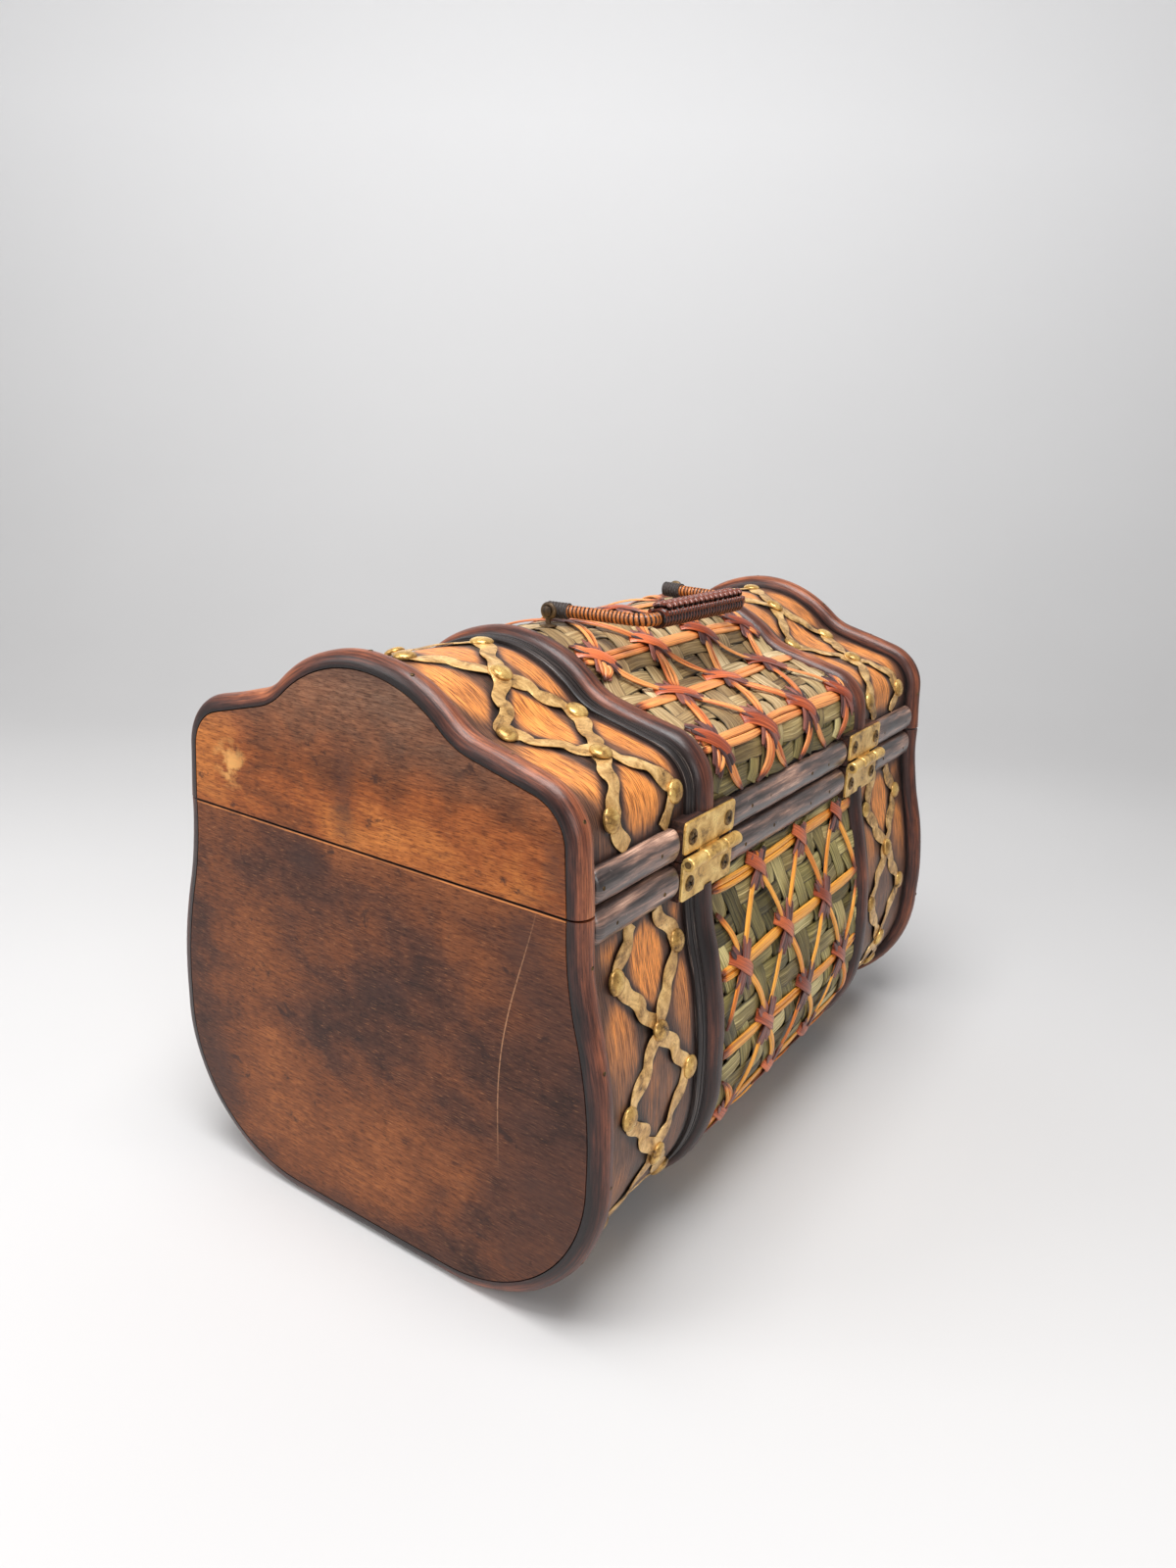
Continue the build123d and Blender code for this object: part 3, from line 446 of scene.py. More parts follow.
class Outline:
    """The bent outline in the YZ plane: tables of place and heading against arc length, in millimetres."""

    def __init__(self, start, heading, outside, half):
        self.outside = outside
        marks, ys, zs, headings = [0.0], [start[0]], [start[1]], [heading]
        for distance, turn in half + half[::-1]:
            count = max(2, int(distance * 4.0))
            for _ in range(count):
                middle = math.radians(headings[-1] + turn / count / 2.0)
                ys.append(ys[-1] + distance / count * math.cos(middle))
                zs.append(zs[-1] + distance / count * math.sin(middle))
                headings.append(headings[-1] + turn / count)
                marks.append(marks[-1] + distance / count)
        self.marks, self.ys, self.zs, self.headings = (np.array(row) for row in (marks, ys, zs, headings))
        self.length = marks[-1]

    def wrap(self, flat, front=False):
        """Points (x, s, h) laid flat, in millimetres, put on the outline, in metres."""
        flat = np.asarray(flat, float)
        x, s, h = flat[..., 0], flat[..., 1], flat[..., 2]
        angle = np.radians(np.interp(s, self.marks, self.headings) + 90.0 * self.outside)
        y = np.interp(s, self.marks, self.ys) + h * np.cos(angle)
        z = np.interp(s, self.marks, self.zs) + h * np.sin(angle)
        if front:
            y = -y
        return joined(x, y, z) * MM

    def normal(self, s, front=False):
        """The outward direction at a length along the outline."""
        angle = math.radians(np.interp(s, self.marks, self.headings) + 90.0 * self.outside)
        return np.array([0.0, -math.cos(angle) if front else math.cos(angle), math.sin(angle)])


def arc(radius, turn):
    """A stretch of outline that turns: its length and its turn in degrees."""
    return (radius * math.radians(abs(turn)), turn)


def body_outline():
    """From the seam down the bulging wall, round the corner and along the base to the middle."""
    drop = seam_height - seam_gap / 2 - base_height - corner_radius - side_flat
    swell = bulge_half_width - seam_half_width
    lean = 2.0 * math.degrees(math.atan2(swell, drop))
    both = drop / math.sin(math.radians(lean))
    half = [
        arc(both * (1.0 - bulge_share), lean),
        arc(both * bulge_share, -lean),
        (side_flat, 0.0),
        arc(corner_radius, -90.0),
        (bulge_half_width - corner_radius, 0.0),
    ]
    return Outline((seam_half_width, seam_height - seam_gap / 2), -90.0, 1, half)


def lid_outline():
    """From the seam up the side, over the shoulder and the cove to the middle of the dome."""
    rise = lid_rise - seam_gap / 2
    slope, side, dome = (math.radians(value) for value in (shoulder_slope, 90.0 - lid_lean, dome_angle))
    out = seam_half_width - dome_radius * math.sin(dome) - cove_radius * (math.sin(dome) - math.sin(slope))
    out -= lid_corner_radius * (math.sin(side) - math.sin(slope))
    down = rise - dome_radius * (1.0 - math.cos(dome)) - cove_radius * (math.cos(slope) - math.cos(dome))
    down -= lid_corner_radius * (math.cos(slope) - math.cos(side))
    spread = math.sin(side - slope)
    half = [
        ((down * math.cos(slope) - out * math.sin(slope)) / spread, 0.0),
        arc(lid_corner_radius, 90.0 - lid_lean - shoulder_slope),
        ((out * math.sin(side) - down * math.cos(side)) / spread, 0.0),
        arc(cove_radius, shoulder_slope - dome_angle),
        arc(dome_radius, dome_angle),
    ]
    return Outline((seam_half_width, seam_height + seam_gap / 2), 90.0 + lid_lean, -1, half)


body = body_outline()
lid = lid_outline()
body_straps = (body_strap_start, body_strap_pitch)
lid_straps = (0.0, lid.length / lid_strap_waves)
base_edge = body.length / 2 - (bulge_half_width - corner_radius)
apex = seam_height + lid_rise
halves = (("body", -1, "chest_body"), ("lid", 1, "lid"))


class Shape:
    """Closed strips gathered as one mesh, with a flow vector and a tone at each point."""

    def __init__(self):
        self.points, self.flows, self.tones, self.faces, self.kinds = [], [], [], [], []
        self.count = 0

    def loft(self, rings, flow, tone=0.5, loop=False):
        """Skin matching rings, an (n, m, 3) array in metres. A loop joins the last ring to the first."""
        n, m = rings.shape[:2]
        rows = n if loop else n - 1
        i, j = np.meshgrid(np.arange(rows), np.arange(m), indexing="ij")
        following, beside = (i + 1) % n, (j + 1) % m
        ring, after = i * m, following * m
        quads = np.stack([ring + j, ring + beside, after + beside, after + j], -1) + self.count
        faces = quads.reshape(-1, 4).tolist()
        if not loop:
            faces.append([self.count + k for k in range(m)][::-1])
            faces.append([self.count + (n - 1) * m + k for k in range(m)])
        self.points.append(rings.reshape(-1, 3))
        self.flows.append(np.broadcast_to(flow, rings.shape).reshape(-1, 3))
        self.tones.append(np.broadcast_to(tone, rings.shape[:2]).reshape(-1))
        self.faces += faces
        self.kinds += [0] * len(faces)
        self.count += n * m

    def build(self, name, paint, on, slot, replaced=(), crease=40.0, inner_paint=None):
        """Make the object, ride it on its body and hide the nodes it stands for."""
        mesh = bpy.data.meshes.new(name)
        mesh.from_pydata(np.concatenate(self.points).tolist(), [], self.faces)
        mesh.polygons.foreach_set("material_index", self.kinds)
        work = bmesh.new()
        work.from_mesh(mesh)
        bmesh.ops.recalc_face_normals(work, faces=work.faces)
        work.to_mesh(mesh)
        work.free()
        flow = mesh.attributes.new("flow", "FLOAT_VECTOR", "POINT")
        flow.data.foreach_set("vector", np.concatenate(self.flows).astype(np.float32).ravel())
        tone = mesh.attributes.new("tone", "FLOAT", "POINT")
        tone.data.foreach_set("value", np.concatenate(self.tones).astype(np.float32))
        mesh.materials.append(paint)
        if inner_paint:
            mesh.materials.append(inner_paint)
        mesh.shade_smooth()
        mesh.set_sharp_from_angle(angle=math.radians(crease))
        piece = bpy.data.objects.new(name, mesh)
        scene.collection.objects.link(piece)
        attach(piece, on)
        if replaced:
            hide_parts(*replaced)


liner_steps = [
    (0.0, 0.0), (0.0, 1.9), (0.9, 1.9), (1.15, 1.3), (1.5, 1.3), (1.75, 1.9), (3.0, 1.8),
    (3.25, 1.2), (3.6, 1.2), (3.85, 1.75), (5.2, 1.6), (lip_width + 0.1, 1.2), (lip_width + 0.2, 0.0),
]
ribbon_section = np.array([
    (-1.0, 0.15), (-0.88, 0.0), (0.0, 0.0), (0.88, 0.0), (1.0, 0.15),
    (1.0, 0.6), (0.84, 0.93), (0.45, 1.0), (0.0, 1.0), (-0.45, 1.0), (-0.84, 0.93), (-1.0, 0.6),
])


def ribbon(shape, outline, centre, width, thickness, crown, tilt, seed, tone, front):
    """A flat strip along (x, s, h) points on the outline, with rounded edges and a crowned top."""
    ahead = np.gradient(centre[:, :2], axis=0)
    ahead /= np.linalg.norm(ahead, axis=1)[:, None]
    u, v = ribbon_section.T
    half, lean, tone = (np.broadcast_to(row, len(centre))[:, None] for row in (width / 2.0, tilt, tone))
    x = centre[:, 0:1] + ahead[:, 1:2] * u * half
    s = centre[:, 1:2] - ahead[:, 0:1] * u * half
    h = centre[:, 2:3] + v * (thickness + crown * (1.0 - u ** 2)) + lean * u
    flow = joined(lengths(centre)[:, None] + seed * 37.0, u * half, seed * 7.0)
    shape.loft(outline.wrap(joined(x, s, h), front), flow, tone)


def swept(shape, outline, section, s_range, step, tone=0.5, floor=None, wobble=None):
    """A moulding whose closed section of (x, h) points follows the outline."""
    section = np.asarray(section, float)
    s = np.linspace(*s_range, int((s_range[1] - s_range[0]) / step))[:, None]
    x, h = section.T
    if wobble is not None:
        above = np.clip(h, 0.0, None)
        h = h + above / (above.max() + 1e-6) * wobble(s)
    rings = outline.wrap(joined(x, s, h))
    if floor is not None:
        rings[..., 2] = np.maximum(rings[..., 2], floor)
    shape.loft(rings, joined(s, lengths(section), 0.0) + section[0, 0], tone)


def slow_waves(seed, size, period):
    """A smooth random wobble along a length, from a few sine waves."""
    dice = np.random.default_rng(int(seed))
    phases = dice.uniform(0.0, 2.0 * math.pi, 4)
    speeds = dice.uniform(0.6, 1.9, 4) * 2.0 * math.pi / period
    return lambda s: size * sum(np.sin(speed * s + phase) for speed, phase in zip(speeds, phases)) / 2.0


def half_round(centre, width, proud, wear):
    """A half-round section as (x, h) points and the tone that rises to its wear on the crest."""
    angles = np.linspace(0.0, math.pi, 16)
    points = joined(centre + width / 2.0 * np.cos(angles), proud * np.sin(angles) ** 0.82)
    return points, wear * np.clip(np.sin(angles), 0.0, 1.0) ** 0.5


def strap_x(s, first, pitch, sign):
    """How far a strap stands from the middle of its bay at s."""
    phase = (np.asarray(s, float) - first) / pitch
    whole = np.floor(phase)
    swing = 1.0 - np.abs(2.0 * (phase - whole) - 1.0)
    return np.where(whole % 2 == 0, sign, -sign) * swing * strap_swing


def bay_light(x, s, first, pitch, glow):
    """How pale the stained ply is: dark by straps, edges and rails, and pale ovals in the open fields."""
    across = np.abs(x)
    reach = np.minimum(across - 88.3, half_length - moulding_width - across) * 0.8
    slant = math.cos(math.atan2(2.0 * strap_swing, pitch))
    for sign in (1, -1):
        away = np.abs(across - strap_centre - strap_x(s, first, pitch, sign)) * slant
        reach = np.minimum(reach, away - 2.6)
    clear = np.clip(reach / 3.2, 0.0, 1.0)
    between = (np.floor((s - first) / pitch) + 0.5) * pitch + first
    crossing = np.round((s - first) / pitch) * pitch + first
    ovals = [(strap_centre, between, 11.5, 0.4 * pitch, 1.0)]
    for side in (-1, 1):
        ovals.append((strap_centre + side * (strap_swing + 1.0), crossing, 10.5, 0.42 * pitch, 0.8))
    pale = 0.0 * s
    for middle, along, wide, long, power in ovals:
        away = np.hypot((across - middle) / wide, (s - along) / long)
        pale = np.maximum(pale, power * np.clip((1.12 - away) / 0.5, 0.0, 1.0))
    pale = pale * pale * (3.0 - 2.0 * pale)
    return (0.3 + 0.7 * pale * glow(s)) * clear ** 1.3


def make_shell(name, outline, on, first, pitch, glow, ends):
    """The bent ply: a closed skin with fine outer bays, a plain inside and plain rims."""
    bays = np.arange(88.0, panel_inner, 1.5)
    x = np.concatenate([-bays[::-1], np.linspace(-80.0, 80.0, 9), bays, [panel_inner]])
    x[0] = -panel_inner
    s = np.linspace(0.0, outline.length, int(outline.length / 1.5))
    grid_x, grid_s = np.meshgrid(x, s)
    mirror_s = np.minimum(grid_s, outline.length - grid_s) if ends else grid_s
    light = bay_light(grid_x, mirror_s, first, pitch, glow)
    light = np.where(mirror_s < 20.0, light * np.clip((mirror_s - 12.0) / 8.0, 0.0, 1.0), light)
    outer = joined(grid_x, grid_s, 0.0)
    ring = np.concatenate([outer, (outer - (0.0, 0.0, shell_thickness))[:, ::-1]], 1)
    flow = np.concatenate([outer, outer[:, ::-1] + 200.0], 1)
    shape = Shape()
    shape.loft(outline.wrap(ring), flow, np.concatenate([light, 0.0 * light], 1))
    columns = len(x)
    for k in range(len(shape.kinds)):
        if k % (2 * columns) >= columns - 1 or k >= 2 * columns * (len(s) - 1):
            shape.kinds[k] = 1
    shape.build(f"{name}_bent_ply", bay_paint, on, "bay_wood", [f"{name}_shell"], inner_paint=ply_paint)


def make_mouldings(name, outline, on, floor, end_wear, rib_wear):
    """End mouldings round both ends, and ribs with a grooved black liner on their outer side."""
    for side, sign in (("right", 1.0), ("left", -1.0)):
        shape = Shape()
        middle = sign * (half_length - moulding_width / 2)
        section, tone = half_round(middle, moulding_width, moulding_proud, end_wear)
        wobble = slow_waves(3 + sign, 0.12, 40.0)
        swept(shape, outline, section, (0.0, outline.length), 1.6, tone, floor, wobble)
        node = f"{name}_end_moulding_{side}"
        shape.build(f"{name}_moulding_{side}", moulding_paint, on, "moulding_wood", [node])
    ribs, liners = Shape(), Shape()
    s_range = (rib_start, outline.length - rib_start)
    near = rib_centre + rib_width / 2 - 0.4
    for sign in (1.0, -1.0):
        section, tone = half_round(sign * rib_centre, rib_width, rib_proud, rib_wear)
        swept(ribs, outline, section, s_range, 1.6, tone, wobble=slow_waves(8 + sign, 0.12, 45.0))
        line = [(sign * (near + out), high) for out, high in liner_steps]
        swept(liners, outline, line, s_range, 2.0)
    ribs.build(f"{name}_bent_ribs", moulding_paint, on, "moulding_wood", [f"{name}_ribs"])
    liners.build(f"{name}_rib_liners", liner_paint, on, "moulding_wood", crease=30.0)


def make_rail(shape, side, x_range, front, seed):
    """A near half-round rod beside the seam with softly rounded ends."""
    start, end = x_range
    outline = lid if side > 0 else body
    crest_y = np.interp(rail_height / 2, outline.marks, outline.ys)
    soft = 3.5
    long = np.arange(start + 5.0, end - 4.9, 2.5)
    x = np.concatenate([np.linspace(start, start + soft, 6), long, np.linspace(end - soft, end, 6)])[:, None]
    from_end = np.clip(np.minimum(x - start, end - x) / soft, 0.0, 1.0)
    full = np.clip(1.0 - (1.0 - from_end) ** 2, 0.0, 1.0) ** 0.5
    angles = np.linspace(-0.16 * math.pi, 1.16 * math.pi, 20)
    out = (0.9 + (rail_proud - 0.9) * np.sin(angles)) * (0.62 + 0.38 * full) + slow_waves(seed, 0.1, 38.0)(x)
    high = seam_gap / 2 + trim_gap + rail_height / 2 * (1.0 - np.cos(angles) * (0.75 + 0.25 * full))
    y = crest_y + np.maximum(out, -1.4)
    rings = joined(x, -y if front else y, seam_height + side * high) * MM
    shape.loft(rings, joined(x, angles * 4.5, 0.0) + seed * 31.0)


def make_rails():
    """Three rods on the back of each half, round the hinges, and two on the front, beside the latch."""
    outer_start = hinge_centre + hinge_length / 2 + 2 * trim_gap
    middle = hinge_centre - hinge_length / 2 - 2 * trim_gap
    bay_end = half_length - moulding_width - trim_gap
    latch_side = latch_pad_width / 2 + 2 * trim_gap
    spans = {
        "back": [(-middle, middle), (outer_start, bay_end), (-bay_end, -outer_start)],
        "front": [(latch_side, bay_end), (-bay_end, -latch_side)],
    }
    for name, side, on in halves:
        seed = 1
        for face, ranges in spans.items():
            rails = Shape()
            for x_range in ranges:
                make_rail(rails, side, x_range, face == "front", seed + side)
                seed += 4
            rails.build(f"{name}_seam_rails_{face}", rail_paint, on, "rail_wood", [f"{name}_rails_{face}"])


def raised(shape, place, outward, x, y, rise, tone=0.5, seed=0.0):
    """Rings of (x, y) points raised over a place in its outward direction."""
    outward = np.asarray(outward, float)
    side = np.array([1.0, 0.0, 0.0])
    up = np.cross(outward, side)
    x, y, rise = np.broadcast_arrays(x, y, rise)
    rings = np.asarray(place) + (x[..., None] * side + y[..., None] * up + rise[..., None] * outward) * MM
    shape.loft(rings, joined(x, y, 0.0) + seed, tone)


def dome(shape, place, outward, radius, height, seed, squash=1.0, turn=0.0):
    """A domed tack head, slightly oval, on a point with its outward direction."""
    levels = [(0.93, -0.25), (1.0, 0.05), (0.97, 0.3), (0.82, 0.62), (0.58, 0.85), (0.3, 0.97), (0.02, 1.0)]
    levels = np.array(levels)
    first = levels[:, 0:1] * radius * np.cos(circle(20))
    second = levels[:, 0:1] * radius * np.sin(circle(20)) * squash
    x = first * math.cos(turn) - second * math.sin(turn)
    y = first * math.sin(turn) + second * math.cos(turn)
    raised(shape, place, outward, x, y, levels[:, 1:2] * height, seed=seed)


def make_strap(shape, outline, first, pitch, s_range, sign, end, top, seed, front):
    """One brass strap: a zigzag between its tacks with a hammered wavy edge, over its partner or under it."""
    s = np.arange(*s_range, 1.0)
    raw = strap_x(s, first, pitch, sign)
    soft = np.convolve(np.pad(raw, 2, mode="edge"), np.ones(5) / 5.0, mode="valid")
    phase = np.random.default_rng(seed).uniform(0.0, 2.0 * math.pi)
    beat = 2.0 * math.pi / strap_beat
    meander = 1.1 * np.sin(beat * s * 1.12 + phase) + slow_waves(seed, 0.6, 23.0)(s)
    width = strap_width + 0.85 * np.sin(beat * 1.12 * s + phase + 1.9) + slow_waves(seed + 1, 0.5, 17.0)(s)
    cross = np.abs((s - first) / pitch - np.round((s - first) / pitch)) * pitch
    lift = np.exp(-(cross / 4.5) ** 2) * (0.95 if top else 0.0)
    h = 0.2 + lift + 0.3 * np.abs(np.sin(beat * 0.5 * s + phase))
    tilt = 0.35 * np.sin(beat * 0.56 * s + phase + 0.7)
    path = joined(end * (strap_centre + soft + meander), s, h)
    ribbon(shape, outline, path, width, 0.5, 0.06, tilt, seed * 0.1, 0.5, front)


def make_tacks(shape, outline, first, pitch, s_range, end, seed, front):
    """A tack on each crossing of the straps and on each of their outer bends."""
    dice = np.random.default_rng(seed + 500)
    for i in range(int((s_range[1] - first) / pitch * 2) + 1):
        s = first + i * pitch / 2
        if not s_range[0] + 4.5 <= s <= s_range[1] - 4.5:
            continue
        for out, high in [(0.0, 1.75)] if i % 2 == 0 else [(-strap_swing, 0.85), (strap_swing, 0.85)]:
            flat = (end * (strap_centre + out + dice.normal(0, 0.4)), s + dice.normal(0, 0.5), high)
            place = outline.wrap(flat, front)
            look = (tack_radius, tack_height, seed, dice.uniform(0.84, 1.0), dice.uniform(0, 3.1))
            dome(shape, place, outline.normal(s, front), *look)


def make_straps_and_tacks():
    """Two crossing straps in each outer bay: back and front on the body, and over the top on the lid."""
    bays = [
        ("body", body, "chest_body", body_straps, (strap_start, base_edge), (False, True)),
        ("lid", lid, "lid", lid_straps, (strap_start, lid.length - strap_start), (False,)),
    ]
    seed = 50
    for name, outline, on, (first, pitch), s_range, sides in bays:
        for label, end in (("right", 1.0), ("left", -1.0)):
            straps, tacks = Shape(), Shape()
            for front in sides:
                for sign, top in ((1, False), (-1, True)):
                    seed += 1
                    make_strap(straps, outline, first, pitch, s_range, sign, end, top, seed, front)
                make_tacks(tacks, outline, first, pitch, s_range, end, seed, front)
            nodes = [f"{name}_straps_{label}", f"{name}_tacks_{label}"]
            straps.build(f"{name}_brass_straps_{label}", strap_paint, on, "strap_brass", nodes[:1])
            tacks.build(f"{name}_dome_tacks_{label}", tack_paint, on, "strap_brass", nodes[1:], 50.0)


mat_start = 13.3
mat_cell = 10.0
mat_lean = 0.42
strip_thickness = 0.6
mat_top = 1.9


def make_mat(name, outline, on, end, node, front, khaki, seed):
    """Seagrass strips woven two over and two under: level rows, and columns that lean across the bay."""
    shape = Shape()
    dice = np.random.default_rng(seed)
    start = mat_start
    rows = int(round((end - start) / mat_cell))
    high = (end - start) / rows
    wide = mat_cell * 1.08
    under_rib = middle_bay + 3.5
    columns = np.arange(-int(under_rib / wide) - 2, int((under_rib + mat_lean * (end - start)) / wide) + 3)
    share = np.array([1, 3, 5]) / 6.0

    def weave(x, s, over, across):
        """One strip through points at x and s, kept inside the bay and clear of the hinge pads."""
        lift = np.where(over, 1.0, -1.0)
        lift = 0.25 * np.roll(lift, 1) + 0.5 * lift + 0.25 * np.roll(lift, -1)
        h = 0.72 + 0.52 * lift + 0.2 * np.clip(lift, 0.0, 1.0) * dice.uniform(0.1, 1.6, len(s))
        clear = (np.abs(x) < pad_inner) | ((s > trim_start + 0.5) & (s < outline.length - trim_start - 0.5))
        keep = clear & (np.abs(x) < under_rib)
        wobble = slow_waves(dice.integers(1, 9999), 0.45, 30.0)(x + s)
        width = mat_cell * dice.uniform(0.86, 0.98) + wobble
        tone = np.clip(khaki(s) + dice.normal(0.0, 0.1), 0.0, 1.0)
        tilt = slow_waves(dice.integers(1, 9999), 0.2, 20.0)(x + s)
        drift = slow_waves(dice.integers(1, 9999), 0.4, 45.0)(x + s)
        if keep.sum() > 3:
            centre = joined(x + drift * across, s + drift * (not across), h)[keep]
            look = (0.3, tilt[keep], dice.uniform(0, 9), tone[keep], front)
            ribbon(shape, outline, centre, width[keep], strip_thickness, *look)

    for column in columns:
        cell = np.repeat(np.arange(rows), 3)
        s = start + (cell + np.tile(share, rows)) * high
        weave((column + 0.5) * wide - mat_lean * (s - start), s, (cell + column) % 4 >= 2, True)
    for row in range(rows):
        cell = np.repeat(columns, 3)
        level = (row + 0.5) * high
        x = (cell + np.tile(share, len(columns))) * wide - mat_lean * level
        weave(x, start + level + 0.0 * x, (row + cell) % 4 < 2, False)
    shape.build(name, seagrass_paint, on, "seagrass", [node], 50.0)


def curve_between(start, end, bow, rise, low, count=15):
    """A bowed and arched path (x, s, h) between two places of the lattice, and how far along its swell is."""
    t = np.linspace(0.0, 1.0, count)
    way = np.array(end) - np.array(start)
    side = np.array([way[1], -way[0]]) / np.linalg.norm(way)
    swell = np.sin(math.pi * t)
    flat = np.array(start) + t[:, None] * way + side * (bow * swell)[:, None]
    return joined(*flat.T, low + rise * swell ** 0.8), swell


def make_lattice(outline, rows, first_row, pitch, odd, shift, front, lower, strands, seed):
    """Canes along each row, bowed canes from node to node, dark crossing strips and ties at the nodes.

    lower is +1 where a tie's far end lies at a larger s, and -1 where it lies at a smaller s.
    """
    dice = np.random.default_rng(seed)
    canes, darks, ties = Shape(), Shape(), Shape()
    half = node_pitch / 2
    reach = middle_bay - 0.8
    low_s, high_s, eye_row = trim_start - 1.2, base_edge, None
    if outline is lid:
        high_s, eye_row = lid.length - low_s, rows // 2

    def lay(shape, path, width, thickness, crown, tilt, tone):
        """A strip whose streaks start at a place of their own."""
        ribbon(shape, outline, path, width, thickness, crown, tilt, dice.uniform(0, 9), tone, front)

    def inside(line, room=0.0):
        """Which points of a line lie within the bay, with room beside its ribs."""
        return (np.abs(line[:, 0]) < reach - room) & (line[:, 1] > low_s) & (line[:, 1] < high_s)

    places = {}
    for row in range(-1, rows + 1):
        row_shift = shift + dice.normal(0.0, 1.3)
        for m in range(-5, 6):
            if (m + row + odd) % 2 == 0:
                x = m * half + row_shift + dice.normal(0.0, 0.8)
                places[(row, m)] = (x, first_row + row * pitch + dice.normal(0.0, 0.9))
    for row in range(rows):
        s = first_row + row * pitch
        line = sorted(spot for (r, _), spot in places.items() if r == row and abs(spot[0]) < reach - 1.0)
        ends = [(-reach, s + dice.normal(0, 0.5))] + line + [(reach, s + dice.normal(0, 0.5))]
        for left, right in zip(ends, ends[1:]):
            at_eye = row == eye_row and max(abs(left[0]), abs(right[0])) > eye_half_span - 7
            if right[0] - left[0] < 5.0 or at_eye:
                continue
            path, swell = curve_between(left, right, dice.normal(0, 0.3), 0.55, mat_top - 0.05, 13)
            doubled = dice.uniform() < 0.45
            width = (5.5 + dice.uniform(-0.4, 0.6)) * (0.6 + 0.4 * swell ** 0.3)
            # The tone is a random wear per cane, darkened as painted shade towards the ends, where the cane
            # dips under the nodes.
            tone = dice.uniform(0.6, 0.95) * np.clip(swell * 1.6, 0.25, 1.0)
            if doubled:
                for k in (-1, 1):
                    lay(canes, path + joined(0.0, k * width * 0.26, 0.0), width * 0.47, 0.7, 0.3, 0.0, tone)
            else:
                lay(canes, path, width, 0.75, 0.35, 0.1, tone)
    for (row, m), spot in places.items():
        for step in (1, -1):
            if (row + 1, m + step) not in places:
                continue
            spot = np.array(spot)
            way = np.array(places[(row + 1, m + step)]) - spot
            t = np.linspace(0.0, 1.0, 41)
            t = t[inside(spot + t[:, None] * way, 1.5)]
            if len(t) < 8:
                continue
            bow = step * dice.uniform(0.6, 2.4)
            rise = dice.uniform(0.7, 1.7)
            count = max(1, strands + (0 if dice.uniform() < 0.7 else dice.choice([-1, 1])))
            for k in range(count):
                fan = (k - (count - 1) / 2.0) * 2.5
                ends = (spot + way * t[0], spot + way * t[-1])
                path, swell = curve_between(*ends, bow + fan, rise + 0.15 * k, mat_top + 0.35)
                width = (1.85 if count > 1 else 3.0) * (0.55 + 0.45 * swell ** 0.5)
                # The tone is a random wear per cane, darkened as painted shade towards the ends, where the
                # cane dips under the nodes.
                tone = dice.uniform(0.5, 0.95) * np.clip(swell * 1.5 - 0.15, 0.05, 1.0)
                lay(canes, path, width, 0.62, 0.3, dice.normal(0, 0.12), tone)
    for (row, m), (x, s) in places.items():
        at_eye = row == eye_row and abs(abs(x) - eye_half_span) < 14.0
        if not 0 <= row < rows or abs(x) >= reach - 2.0 or at_eye:
            continue
        middle = np.array([x, s])
        for step in (1, -1):
            way = np.array([step * half, pitch]) / math.hypot(half, pitch)
            t = np.linspace(-1.0, 1.0, 13)[:, None]
            long = dice.uniform(9.5, 11.5)
            for fan in (-1.0, 0.0, 1.0):
                spread = fan * (1.3 + 1.3 * np.abs(t)) + dice.normal(0, 0.2)
                line = middle + t * long * way + spread * np.array([way[1], -way[0]])
                keep = inside(line)
                if keep.sum() < 6:
                    continue
                h = mat_top + 0.95 + 0.75 * (1.0 - t ** 2) + (0.35 if step > 0 else 0.0) + 0.1 * fan
                width = 2.9 * np.clip((1.15 - np.abs(t)) * 3.0, 0.4, 1.0)
                path = np.hstack([line, h])[keep]
                lay(darks, path, width[keep, 0], 0.5, 0.15, 0.2 * fan, dice.uniform(0.2, 0.9))
        long = dice.uniform(9.2, 10.8)
        slant = math.radians(36.0 + dice.normal(0, 3.0))
        t = np.linspace(-1.0, 1.0, 15)[:, None]
        line = middle + t * long * np.array([-math.cos(slant), lower * math.sin(slant)])
        keep = inside(line)
        width = 5.3 + 0.4 * np.sin(3.0 * t + dice.uniform(0, 6))
        path = np.hstack([line, mat_top + 0.2 + 2.5 * (1.0 - t ** 2) ** 0.7])[keep]
        if len(path) > 6:
            look = (0.12, 0.3, dice.uniform(0, 9), dice.uniform(0.3, 0.9), front)
            ribbon(ties, outline, path, width[keep, 0], 0.5, *look)
    return canes, darks, ties


